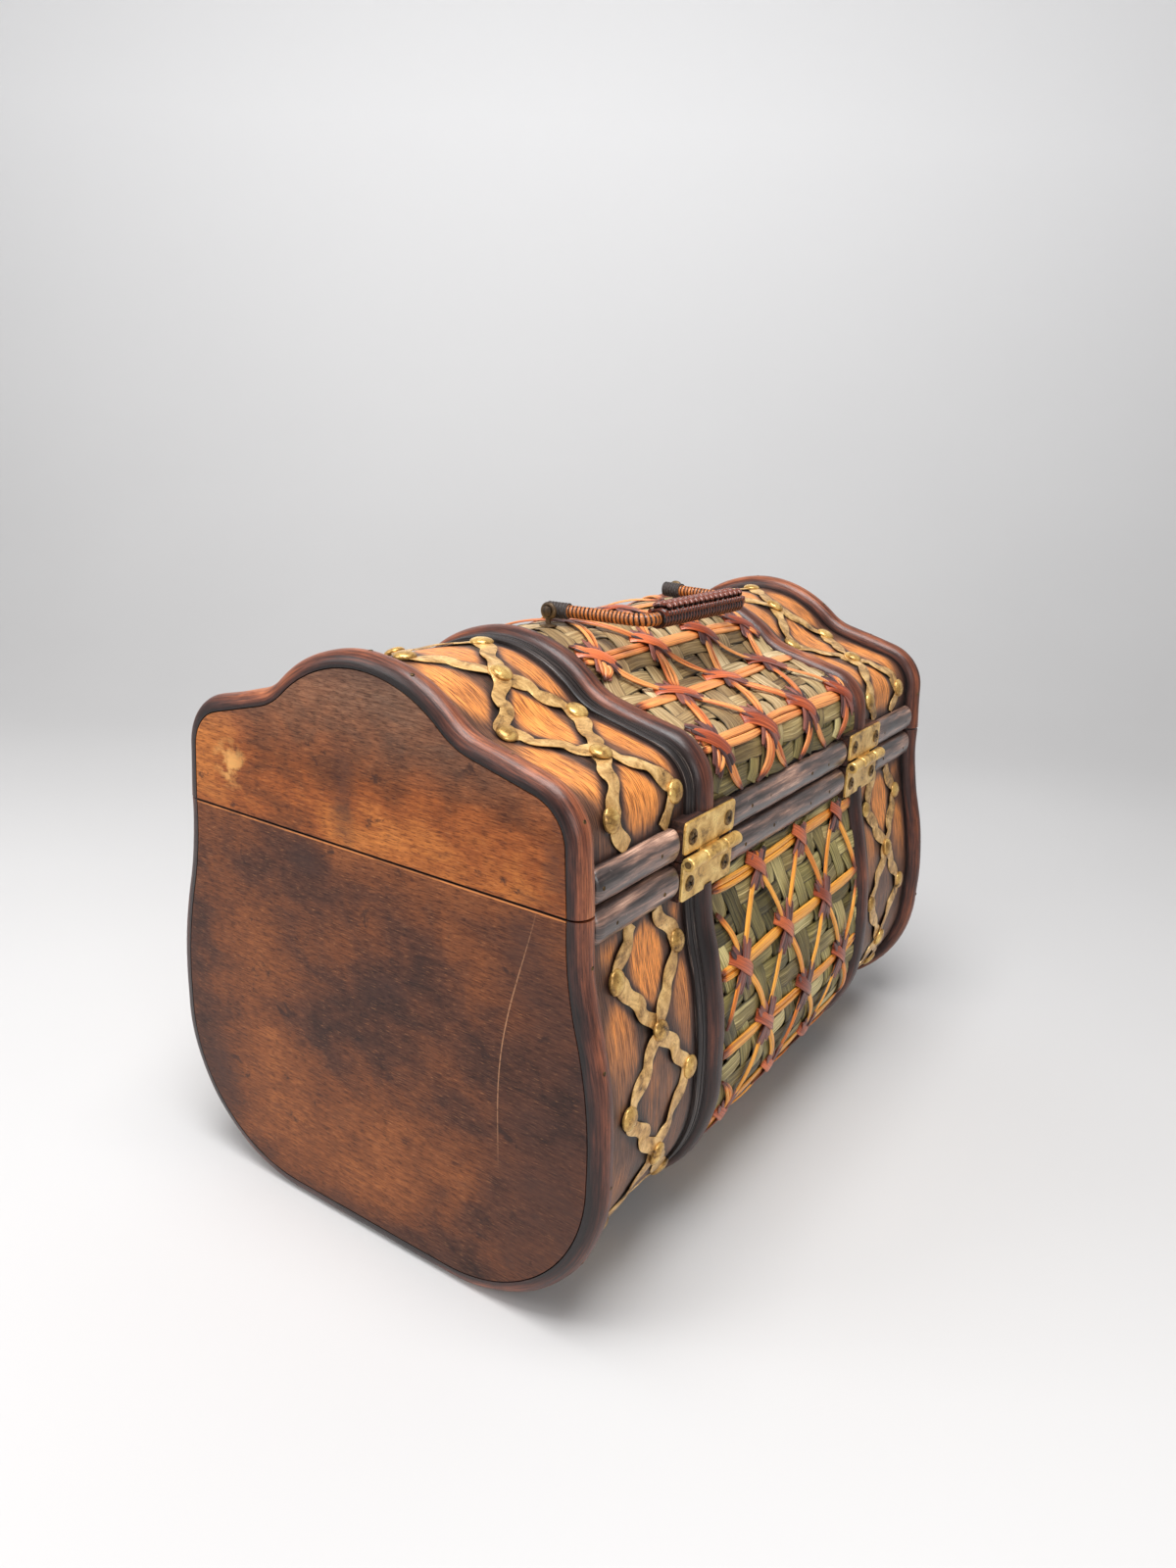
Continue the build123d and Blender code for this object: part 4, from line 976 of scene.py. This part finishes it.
def make_middle_bay():
    """The mats, and over them the canes, dark strips and ties of the lid, the back and the front."""

    def green(s):
        return 0.06 + 0.0 * s

    def khaki_on_top(s):
        return np.clip((np.minimum(s, lid.length - s) - 22.0) / 14.0, 0.0, 1.0) * 0.92 + 0.08

    make_mat("body_weave_back", body, "chest_body", base_edge, "body_mat_back", False, green, 200)
    make_mat("body_weave_front", body, "chest_body", base_edge, "body_mat_front", True, green, 300)
    make_mat("lid_weave", lid, "lid", lid.length - mat_start, "lid_mat", False, khaki_on_top, 400)
    lid_pitch = (lid.length - 2 * lid_first_row) / (lid_rows - 1)
    on_lid = (lid, lid_rows, lid_first_row, lid_pitch, 1, lid_node_shift, False, -1, 2, 31)
    on_body = (body, body_rows, body_first_row, body_row_pitch, 0, body_node_shift)
    bays = [
        ("lid", "", "lid", lid_cane_paint, ["lid_lattice_ties"], on_lid),
        ("body", "_back", "chest_body", cane_paint, ["body_lattice_ties"], on_body + (False, 1, 1, 41)),
        ("body", "_front", "chest_body", cane_paint, [], on_body + (True, 1, 1, 57)),
    ]
    for name, side, on, paint, tie_nodes, layout in bays:
        canes, darks, ties = make_lattice(*layout)
        canes.build(f"{name}_split_canes{side}", paint, on, "split_cane", [f"{name}_lattice{side}"], 50.0)
        darks.build(f"{name}_dark_canes{side}", dark_paint, on, "dark_cane", [], 50.0)
        ties.build(f"{name}_tie_strips{side}", tie_paint, on, "dark_cane", tie_nodes, 50.0)


def screw_head(shape, place, outward, radius, height, turn):
    """A domed head with a cross recess."""
    reach = np.array([1.0, 1.0, 0.9, 0.76, 0.64, 0.52, 0.4, 0.28, 0.16, 0.05])[:, None] * radius
    rise = np.array([-0.1, 0.25, 0.62, 0.82, 0.92, 0.97, 1.0, 1.0, 1.0, 1.0])[:, None] * height
    x, y = reach * np.cos(circle(48)), reach * np.sin(circle(48))
    a = np.abs(x * math.cos(turn) + y * math.sin(turn))
    b = np.abs(y * math.cos(turn) - x * math.sin(turn))
    recess = (np.minimum(a, b) < 0.14 * radius) & (np.maximum(a, b) < 0.62 * radius)
    # Painted shade: the tone is 0 in the cross recess, which the paint turns near black.
    raised(shape, place, outward, x, y, rise - recess * height * 0.85, np.where(recess, 0.0, 1.0))


def make_screws():
    """Four screws in each hinge and two in each plate of the latch."""
    face = seam_half_width + pad_thickness + leaf_thickness
    dice = np.random.default_rng(77)
    hinge_x = [centre + out for centre in (hinge_centre, -hinge_centre) for out in (-13.5, 13.5)]
    # Fastening, its side, places along the chest, distance from the seam, radius and height of the heads
    sets = [("hinge", 1, hinge_x, 8.8, 3.0, 0.75), ("latch", -1, (-8.6, 8.6), 7.5, 2.0, 0.65)]
    for name, side, on in halves:
        for kind, out, row, rise, radius, height in sets:
            heads = Shape()
            for x in row:
                place = np.array([x, out * face, seam_height + side * rise]) * MM
                screw_head(heads, place, (0, out, 0), radius, height, dice.uniform(0, 1.5))
            node = f"{name}_{kind}_screws"
            heads.build(f"{name}_{kind}_screw_heads", screw_paint, on, "screw_brass", [node], 35.0)


def turned(shape, start, axis, section, sides=28):
    """Turn a closed section of (along, radius) points, in millimetres, about an axis through start."""
    axis = np.asarray(axis, float)
    first = np.array([1.0, 0.0, 0.0]) if abs(axis[0]) < 0.5 else np.array([0.0, 0.0, 1.0])
    section = np.asarray(section, float)
    angles = circle(sides)[:, None, None]
    spokes = np.cos(angles) * first + np.sin(angles) * np.cross(axis, first)
    rings = np.asarray(start) + section[:, 0, None] * axis + section[:, 1, None] * spokes
    shape.loft(rings * MM, rings, 1.0, loop=True)


def flat_plate(shape, x_range, y_range, z_range, corner=1.6, bevel=0.25):
    """A sheet with rounded corners. Its bevelled face lies at the second end of y_range."""
    low, high = np.array([x_range, z_range]).T
    middle, half = (low + high) / 2.0, (high - low) / 2.0
    ring = []
    for k in range(4):
        for angle in k * math.pi / 2 + np.linspace(0.0, math.pi / 2, 6):
            sign = np.array([1 if k in (0, 3) else -1, 1 if k < 2 else -1])
            turn = np.array([math.cos(angle), math.sin(angle)])
            ring.append(middle + sign * (half - corner) + corner * turn)
    ring = np.array(ring)
    inner = middle + (ring - middle) * (1.0 - bevel / half)
    near, far = y_range
    levels = [(ring, near), (ring, far - math.copysign(bevel, far - near)), (inner, far)]
    rings = np.array([joined(line[:, 0], y, line[:, 1]) for line, y in levels])
    shape.loft(rings * MM, rings, 1.0)


def make_hinges():
    """Butt hinges: sheet leaves with rounded corners, and knuckles turned round the pin."""
    leaf_y = seam_half_width + pad_thickness
    y_range = (leaf_y, leaf_y + leaf_thickness)
    middle, end = 7.37, hinge_length / 2
    bore, soft = 1.35, 0.4
    for name, side, on in halves:
        leaves = Shape()
        spans = [(-middle, middle)] if side > 0 else [(-end, -middle - 0.5), (middle + 0.5, end)]
        for centre in (hinge_centre, -hinge_centre):
            z_range = sorted((seam_height + side * (barrel_radius + 0.3), seam_height + side * leaf_height))
            flat_plate(leaves, (centre - end, centre + end), y_range, z_range)
            for low, high in spans:
                tab = sorted((seam_height, seam_height + side * (barrel_radius + 0.9)))
                flat_plate(leaves, (centre + low, centre + high), y_range, tab, 0.2, 0.05)
                section = [(low, bore), (low, barrel_radius - soft), (low + soft, barrel_radius)]
                section += [(high - soft, barrel_radius), (high, barrel_radius - soft), (high, bore)]
                turned(leaves, (centre, leaf_y + barrel_radius, seam_height), (1, 0, 0), section, 32)
        leaves.build(f"{name}_butt_leaves", hinge_paint, on, "hinge_brass", [f"{name}_hinge_leaves"], 35.0)


def make_latch():
    """The hook latch: two plates with headed posts, and a flat hook with an eye and an open nose."""
    face = -(seam_half_width + pad_thickness)
    outer = face - leaf_thickness
    span = 7.5
    for name, side, on in halves:
        plate = Shape()
        z = seam_height + side * span
        flat_plate(plate, (-12.0, 12.0), (face, outer), (z - 5.5, z + 5.5))
        post = [(0.0, 0.02), (0.0, 1.5), (5.2, 1.5), (5.2, 2.5), (5.6, 2.6), (6.1, 1.9), (6.3, 0.02)]
        if side < 0:
            post[1:2] = [(0.0, 2.8), (3.2, 2.8), (3.4, 2.6), (3.4, 1.5)]
        turned(plate, (0.0, outer, z), (0, -1, 0), post)
        node = f"{name}_latch_plate"
        plate.build(f"{name}_latch_post_plate", hinge_paint, on, "hinge_brass", [node], 35.0)
    hook = Shape()
    near, far = outer - 3.55, outer - 5.05
    pivot = seam_height - span
    nose = pivot - 2 * span
    flat_plate(hook, (-1.9, 1.9), (near, far), (nose + 3.4, pivot - 2.2), 0.4)
    eye = [(0.0, 1.6), (0.0, 2.9), (0.2, 3.05), (1.3, 3.05), (1.5, 2.9), (1.5, 1.6)]
    turned(hook, (0.0, near, pivot), (0, -1, 0), eye)
    section = [(2.05, near), (3.9, near), (4.0, near - 0.2), (4.0, far + 0.2), (3.9, far), (2.05, far)]
    sweep = np.linspace(math.radians(34.0), math.radians(326.0), 28)
    rings = np.array([[(r * math.cos(a), y, nose + r * math.sin(a)) for r, y in section] for a in sweep])
    hook.loft(rings * MM, rings, 1.0)
    hook.build("latch_flat_hook", hinge_paint, "hook", "hinge_brass", ["latch_hook"], 35.0)


def make_nails():
    """Small nail heads along the rails and the end mouldings."""
    dice = np.random.default_rng(91)
    for name, side, on in halves:
        outline = lid if side > 0 else body
        nails = Shape()
        for front in (False, True):
            for x in rail_nails:
                flat = (x + dice.normal(0, 3), rail_crest + dice.normal(0, 0.6), rail_proud - 0.15)
                dome(nails, outline.wrap(flat, front), outline.normal(rail_crest, front), 0.8, 0.35, x)
        for end in (-1.0, 1.0):
            for s in np.arange(20.0, outline.length - 15.0, 37.0):
                s += dice.normal(0, 4)
                x = end * (half_length - moulding_width / 2 + dice.normal(0, 0.8))
                if side > 0 or s < base_edge - 6 or s > outline.length - base_edge + 6:
                    dome(nails, outline.wrap((x, s, moulding_proud - 0.2)), outline.normal(s), 0.8, 0.35, s)
        nails.build(f"{name}_nail_heads", screw_paint, on, "screw_brass")


def smooth_path(corners, radius, step):
    """A path through corners in millimetres, with round corners."""
    corners = [np.array(corner, float) for corner in corners]
    points = [corners[0]]
    for before, at, after in zip(corners, corners[1:], corners[2:]):
        back = (before - at) / np.linalg.norm(before - at)
        on = (after - at) / np.linalg.norm(after - at)
        half_angle = math.acos(np.clip(back @ on, -1.0, 1.0)) / 2.0
        cut = radius / math.tan(half_angle)
        start, end = at + back * cut, at + on * cut
        for t in np.linspace(0.0, 1.0, 16):
            points.append((1 - t) ** 2 * start + 2 * t * (1 - t) * at + t ** 2 * end)
    points.append(corners[-1])
    points = np.array(points)
    along = lengths(points)
    marks = np.arange(0.0, along[-1], step)
    return joined(*(np.interp(marks, along, axis) for axis in points.T))


def tube(shape, path, radius, seed=0.0, tone=0.5, sides=16):
    """A tube along a path in millimetres. radius and tone depend on the length along and the angle round."""
    ahead = np.gradient(path, axis=0)
    side = np.cross(ahead, (0.0, 0.0, 1.0))
    side /= np.linalg.norm(side, axis=1)[:, None]
    up = np.cross(side, ahead / np.linalg.norm(ahead, axis=1)[:, None])[:, None]
    angles = circle(sides)
    along = lengths(path)[:, None]
    spokes = np.cos(angles)[:, None] * side[:, None] + np.sin(angles)[:, None] * up
    rings = path[:, None] + radius(along, angles)[..., None] * spokes
    shade = tone(along, angles) if callable(tone) else tone
    shape.loft(rings * MM, joined(angles * 3.0, along, seed), shade)


def wrap_height(turn, power):
    """The rounded height, from 0 to 1, of wraps that repeat with each whole turn."""
    return 1.0 - np.abs(2.0 * (turn % 1.0) - 1.0) ** power


def make_handle():
    """The wrapped cane bail: golden arms, a dark braided grip with a ridge on each side, and bound ends."""
    axis_z = apex + eye_rise
    start = np.array([47.1, 0.0, axis_z])
    elbow = np.array([43.0, 41.0, axis_z])
    way = (elbow - start) / np.linalg.norm(elbow - start)
    corners = [start + way * 2.0, elbow, elbow * (-1, 1, 1), (start + way * 2.0) * (-1, 1, 1)]
    path = smooth_path(corners, 8.0, 0.3)
    middle_y = elbow[1]
    grip_half, braid_pitch = 34.0, 4.4

    def wraps(along, angle):
        return wrap_height(along / 1.8 + angle / (2 * math.pi), 5)

    def sleeve(along, angle):
        return wrap_height(along / 2.5 + 0.3 * np.sin(angle), 3)

    def bead_radius(along, angle):
        return 0.2 + 0.95 * wrap_height(along / 2.4, 3)

    def bead_highlight_and_shade(along, angle):
        return 1.1 * wrap_height(along / 2.4, 3) - 0.2

    def plump(along, angle):
        return 0.4 + 1.15 * np.sin(math.pi * np.clip(along / 5.6, 0.03, 0.97)) ** 0.6

    def cord(along, angle):
        return 2.8 + 0.6 * wrap_height(along / 1.5 + angle / (2 * math.pi), 3)

    bail, grip, ends = Shape(), Shape(), Shape()
    # Painted highlight and shade: the tone follows the height of the wraps, so each wrap is lighter on its
    # crest and near black in the gaps between wraps.
    tube(bail, path, lambda *at: 2.05 + 0.6 * wraps(*at), 1.0, lambda *at: 0.95 * wraps(*at) ** 2 - 0.2)
    bail.build("handle_wrapped_bail", bail_paint, "handle", "handle_cane", ["handle_bail"])
    middle = path[np.abs(path[:, 0]) < grip_half + 1.0]
    # Painted highlight and shade: the sleeve's wraps are lighter on their crests and darker in the gaps.
    tube(grip, middle, lambda *at: 3.0 + 1.1 * sleeve(*at), 3.0, lambda *at: 1.15 * sleeve(*at) ** 2 - 0.3)
    t = np.linspace(0.0, 1.0, 9)
    for i in range(int(2 * grip_half / braid_pitch)):
        for k in (-1, 1):
            x = -grip_half + (i + 0.25 + 0.25 * k) * braid_pitch + 2.6 * t
            y = middle_y + k * (0.4 - 4.2 * t) + k * 0.3
            line = joined(x, y, axis_z + 3.6 + 1.5 * np.sin(math.pi * (0.25 + 0.6 * t)))
            # Painted light: each braid strand is lighter on its top and darker underneath.
            tube(grip, line, plump, 5.0 + i, lambda along, angle: 0.45 + 0.55 * np.sin(angle), 10)
    for k in (-1, 1):
        ridge = joined(np.arange(-grip_half, grip_half, 0.3), middle_y + k * 4.0, axis_z + 2.4)
        # Painted highlight and shade: each bead of the ridge is lighter on its crest and darker between the
        # beads.
        tube(grip, ridge, bead_radius, 40.0 + k, bead_highlight_and_shade, 10)
    grip.build("handle_braided_grip", grip_paint, "handle", "dark_cane", ["handle_grip_wrap"])
    for sign in (1.0, -1.0):
        tube(ends, (start + np.arange(-3.2, 6.4, 0.2)[:, None] * way) * (sign, 1, 1), cord)
    ends.build("handle_bound_ends", black_paint, "handle", "black_binding", ["handle_bindings"])
    eyes, pins = Shape(), Shape()
    ring = [(0.95 * math.cos(a), 2.75 + 1.0 * math.sin(a)) for a in circle(12)]
    shank = [(0.0, 0.02), (0.0, 1.25), (2.9, 1.1), (2.9, 0.02)]
    washer = [(0.0, 0.02), (0.0, 3.6), (0.5, 3.5), (0.9, 2.6), (1.2, 1.2), (1.3, 0.02)]
    pin = [(-4.9, 0.02), (-4.9, 1.4), (1.5, 1.4), (1.5, 2.2), (1.8, 2.3), (2.1, 1.8)]
    pin += [(2.3, 0.9), (2.35, 0.02)]
    for sign in (1.0, -1.0):
        middle = np.array([sign * eye_half_span, 0.0, axis_z])
        turned(eyes, middle, (1, 0, 0), ring)
        turned(eyes, middle - (0, 0, eye_rise - 2.0), (0, 0, 1), shank, 16)
        turned(eyes, middle - (0, 0, eye_rise - 1.9), (0, 0, 1), washer)
        turned(pins, middle, (sign, 0, 0), pin)
    eyes.build("handle_brass_eyes", eye_paint, "lid", "strap_brass", ["handle_eyes"], 35.0)
    pins.build("handle_headed_pins", eye_paint, "handle", "strap_brass", ["handle_pins"], 35.0)


bay_paint = bay_wood()
ply_paint = plain_ply()
body_tones = ((64, 40, 33), (97, 58, 41), (128, 74, 43), (160, 95, 52))
lid_tones = ((80, 44, 28), (126, 70, 36), (164, 90, 42), (206, 126, 60))
body_panel_paint = panel_wood("body_panel_wood", "body_end_panel_right", True, body_tones, 0.0)
lid_panel_paint = panel_wood("lid_panel_wood", "lid_end_panel_right", False, lid_tones, 0.6)
pad_paint = pad_wood()
moulding_paint = moulding_wood()
liner_paint = liner_black()
rail_paint = rail_wood()
hinge_paint = brass("hinge_brass", (250, 212, 132), (214, 168, 92), (84, 58, 32), 1.0, 0.26, 0.14)
strap_paint = brass("strap_brass", (246, 204, 136), (196, 150, 90), (82, 58, 36), 1.2, 0.28, 0.3, 0.4)
tack_paint = brass("tack_brass", (244, 204, 124), (178, 134, 70), (76, 52, 32), 1.2, 0.22, 0.2, 0.5)
eye_paint = brass("eye_brass", (134, 108, 68), (84, 64, 44), (40, 30, 25), 1.0, 0.36, 0.12)
screw_paint = screw_brass()
seagrass_paint = seagrass()
cane_paint = cane("split_cane", (100, 44, 24), (226, 124, 32), (255, 178, 66), (176, 84, 30))
lid_cane_paint = cane("lid_cane", (80, 36, 24), (198, 102, 48), (240, 160, 90), (146, 66, 34))
dark_paint = cane("dark_cane", (46, 26, 26), (100, 56, 50), (148, 88, 74), (60, 34, 34), 0.4)
tie_paint = cane("tie_cane", (84, 34, 22), (164, 72, 38), (222, 116, 66), (104, 44, 28), 0.32)
# The darkest stops of the bail and grip canes are the painted shade in the gaps between the wraps.
bail_paint = cane("handle_cane", (8, 3, 2), (112, 56, 20), (206, 124, 56), (64, 28, 12), 0.3)
grip_paint = cane("grip_cane", (4, 1, 1), (42, 15, 9), (122, 62, 44), (20, 6, 4), 0.2)
black_paint = binding_black()

make_shell("body", body, "chest_body", *body_straps, lambda s: np.clip(1.6 - s / 50.0, 0.15, 1.0), True)
make_shell("lid", lid, "lid", *lid_straps, lambda s: 0.85, False)
make_mouldings("body", body, "chest_body", 0.0, 0.8, 0.45)
make_mouldings("lid", lid, "lid", None, 1.0, 0.8)
make_rails()
make_straps_and_tacks()
make_middle_bay()
make_screws()
make_hinges()
make_latch()
make_nails()
make_handle()

cad_paints = {
    "body_end_panel": body_panel_paint,
    "lid_end_panel": lid_panel_paint,
    "hinge_pads": pad_paint,
    "latch_pad": pad_paint,
    "hinge_pins": eye_paint,
}
for name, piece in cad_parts.items():
    for key, paint in cad_paints.items():
        if key in name:
            for slot in piece.material_slots:
                slot.material = paint


def make_stage():
    """A pale sweep: floor, curved foot and back wall."""
    paint = Paint("sweep", specular=0.2)
    pale = paint.ramp(paint.noise((0.002, 0.002, 0.002), 2.0), (0.3, 200, 199, 199), (0.7, 205, 204, 204))
    high = paint.level(paint.axes()[2], 0.0, 700.0)
    paint.connect(paint.shader["Base Color"], paint.mix(high, pale, (250, 250, 251)))
    paint.connect(paint.shader["Roughness"], 0.9)
    reach, near, foot, bend, wall = 2.6, -2.4, 0.6, 0.6, 2.4
    ahead = Vector((-0.84, -0.54, 0.0))
    side = Vector((ahead.y, -ahead.x, 0.0))
    profile = [(near, 0.0), (foot, 0.0)]
    for a in np.linspace(0.1, math.pi / 2, 12):
        profile.append((foot + bend * math.sin(a), bend * (1 - math.cos(a))))
    profile.append((foot + bend, wall))
    points, faces = [], []
    for out, high in profile:
        for k in (-1, 1):
            points.append(tuple(ahead * out + side * (k * reach) + Vector((0.0, 0.0, high))))
    for i in range(len(profile) - 1):
        faces.append((2 * i, 2 * i + 1, 2 * i + 3, 2 * i + 2))
    mesh = bpy.data.meshes.new("sweep")
    mesh.from_pydata(points, [], faces)
    mesh.materials.append(paint.material)
    mesh.shade_smooth()
    floor = bpy.data.objects.new("sweep", mesh)
    scene.collection.objects.link(floor)


def soft_box(name, place, size, power):
    """A large soft lamp aimed at the middle of the chest."""
    lamp = bpy.data.lights.new(name, "AREA")
    lamp.shape = "RECTANGLE"
    lamp.size, lamp.size_y = size
    lamp.energy = power
    holder = bpy.data.objects.new(name, lamp)
    holder.location = place
    holder.rotation_euler = (Vector((0.0, 0.0, 0.12)) - Vector(place)).to_track_quat("-Z", "Y").to_euler()
    scene.collection.objects.link(holder)


def make_light():
    """An even pale surround and three soft boxes."""
    world = bpy.data.worlds.new("tent")
    world.use_nodes = True
    sockets = world.node_tree.nodes["Background"].inputs
    sockets["Color"].default_value = (1.0, 1.0, 1.0, 1.0)
    sockets["Strength"].default_value = 0.34
    scene.world = world
    soft_box("top_box", (0.3, 0.1, 1.2), (0.75, 0.6), 16.5)
    soft_box("left_box", (0.9, -0.7, 0.7), (0.6, 0.6), 5.4)
    soft_box("right_box", (0.6, 0.62, 0.42), (0.35, 0.35), 1.7)


def make_camera():
    """The photograph's own view, found by fitting a camera to the edges of the chest."""
    place = Vector((414.3, 261.2, 301.8)) * MM
    target = Vector((-77.2, -62.1, 114.0)) * MM
    roll = math.radians(2.531)
    focal_pixels, picture_height = 1121.17, 1600.0
    ahead = (target - place).normalized()
    right = ahead.cross(Vector((0.0, 0.0, 1.0))).normalized()
    up = right.cross(ahead)
    level_right = right * math.cos(roll) + up * math.sin(roll)
    level_up = up * math.cos(roll) - right * math.sin(roll)
    lens = bpy.data.cameras.new("view")
    lens.sensor_width = 36.0
    lens.lens = focal_pixels / picture_height * lens.sensor_width
    lens.clip_start = 0.01
    camera = bpy.data.objects.new("view", lens)
    turn = Matrix((level_right, level_up, -ahead)).transposed()
    camera.matrix_world = Matrix.Translation(place) @ turn.to_4x4()
    scene.collection.objects.link(camera)
    scene.camera = camera


make_stage()
make_light()
make_camera()
scene.view_settings.view_transform = "Standard"
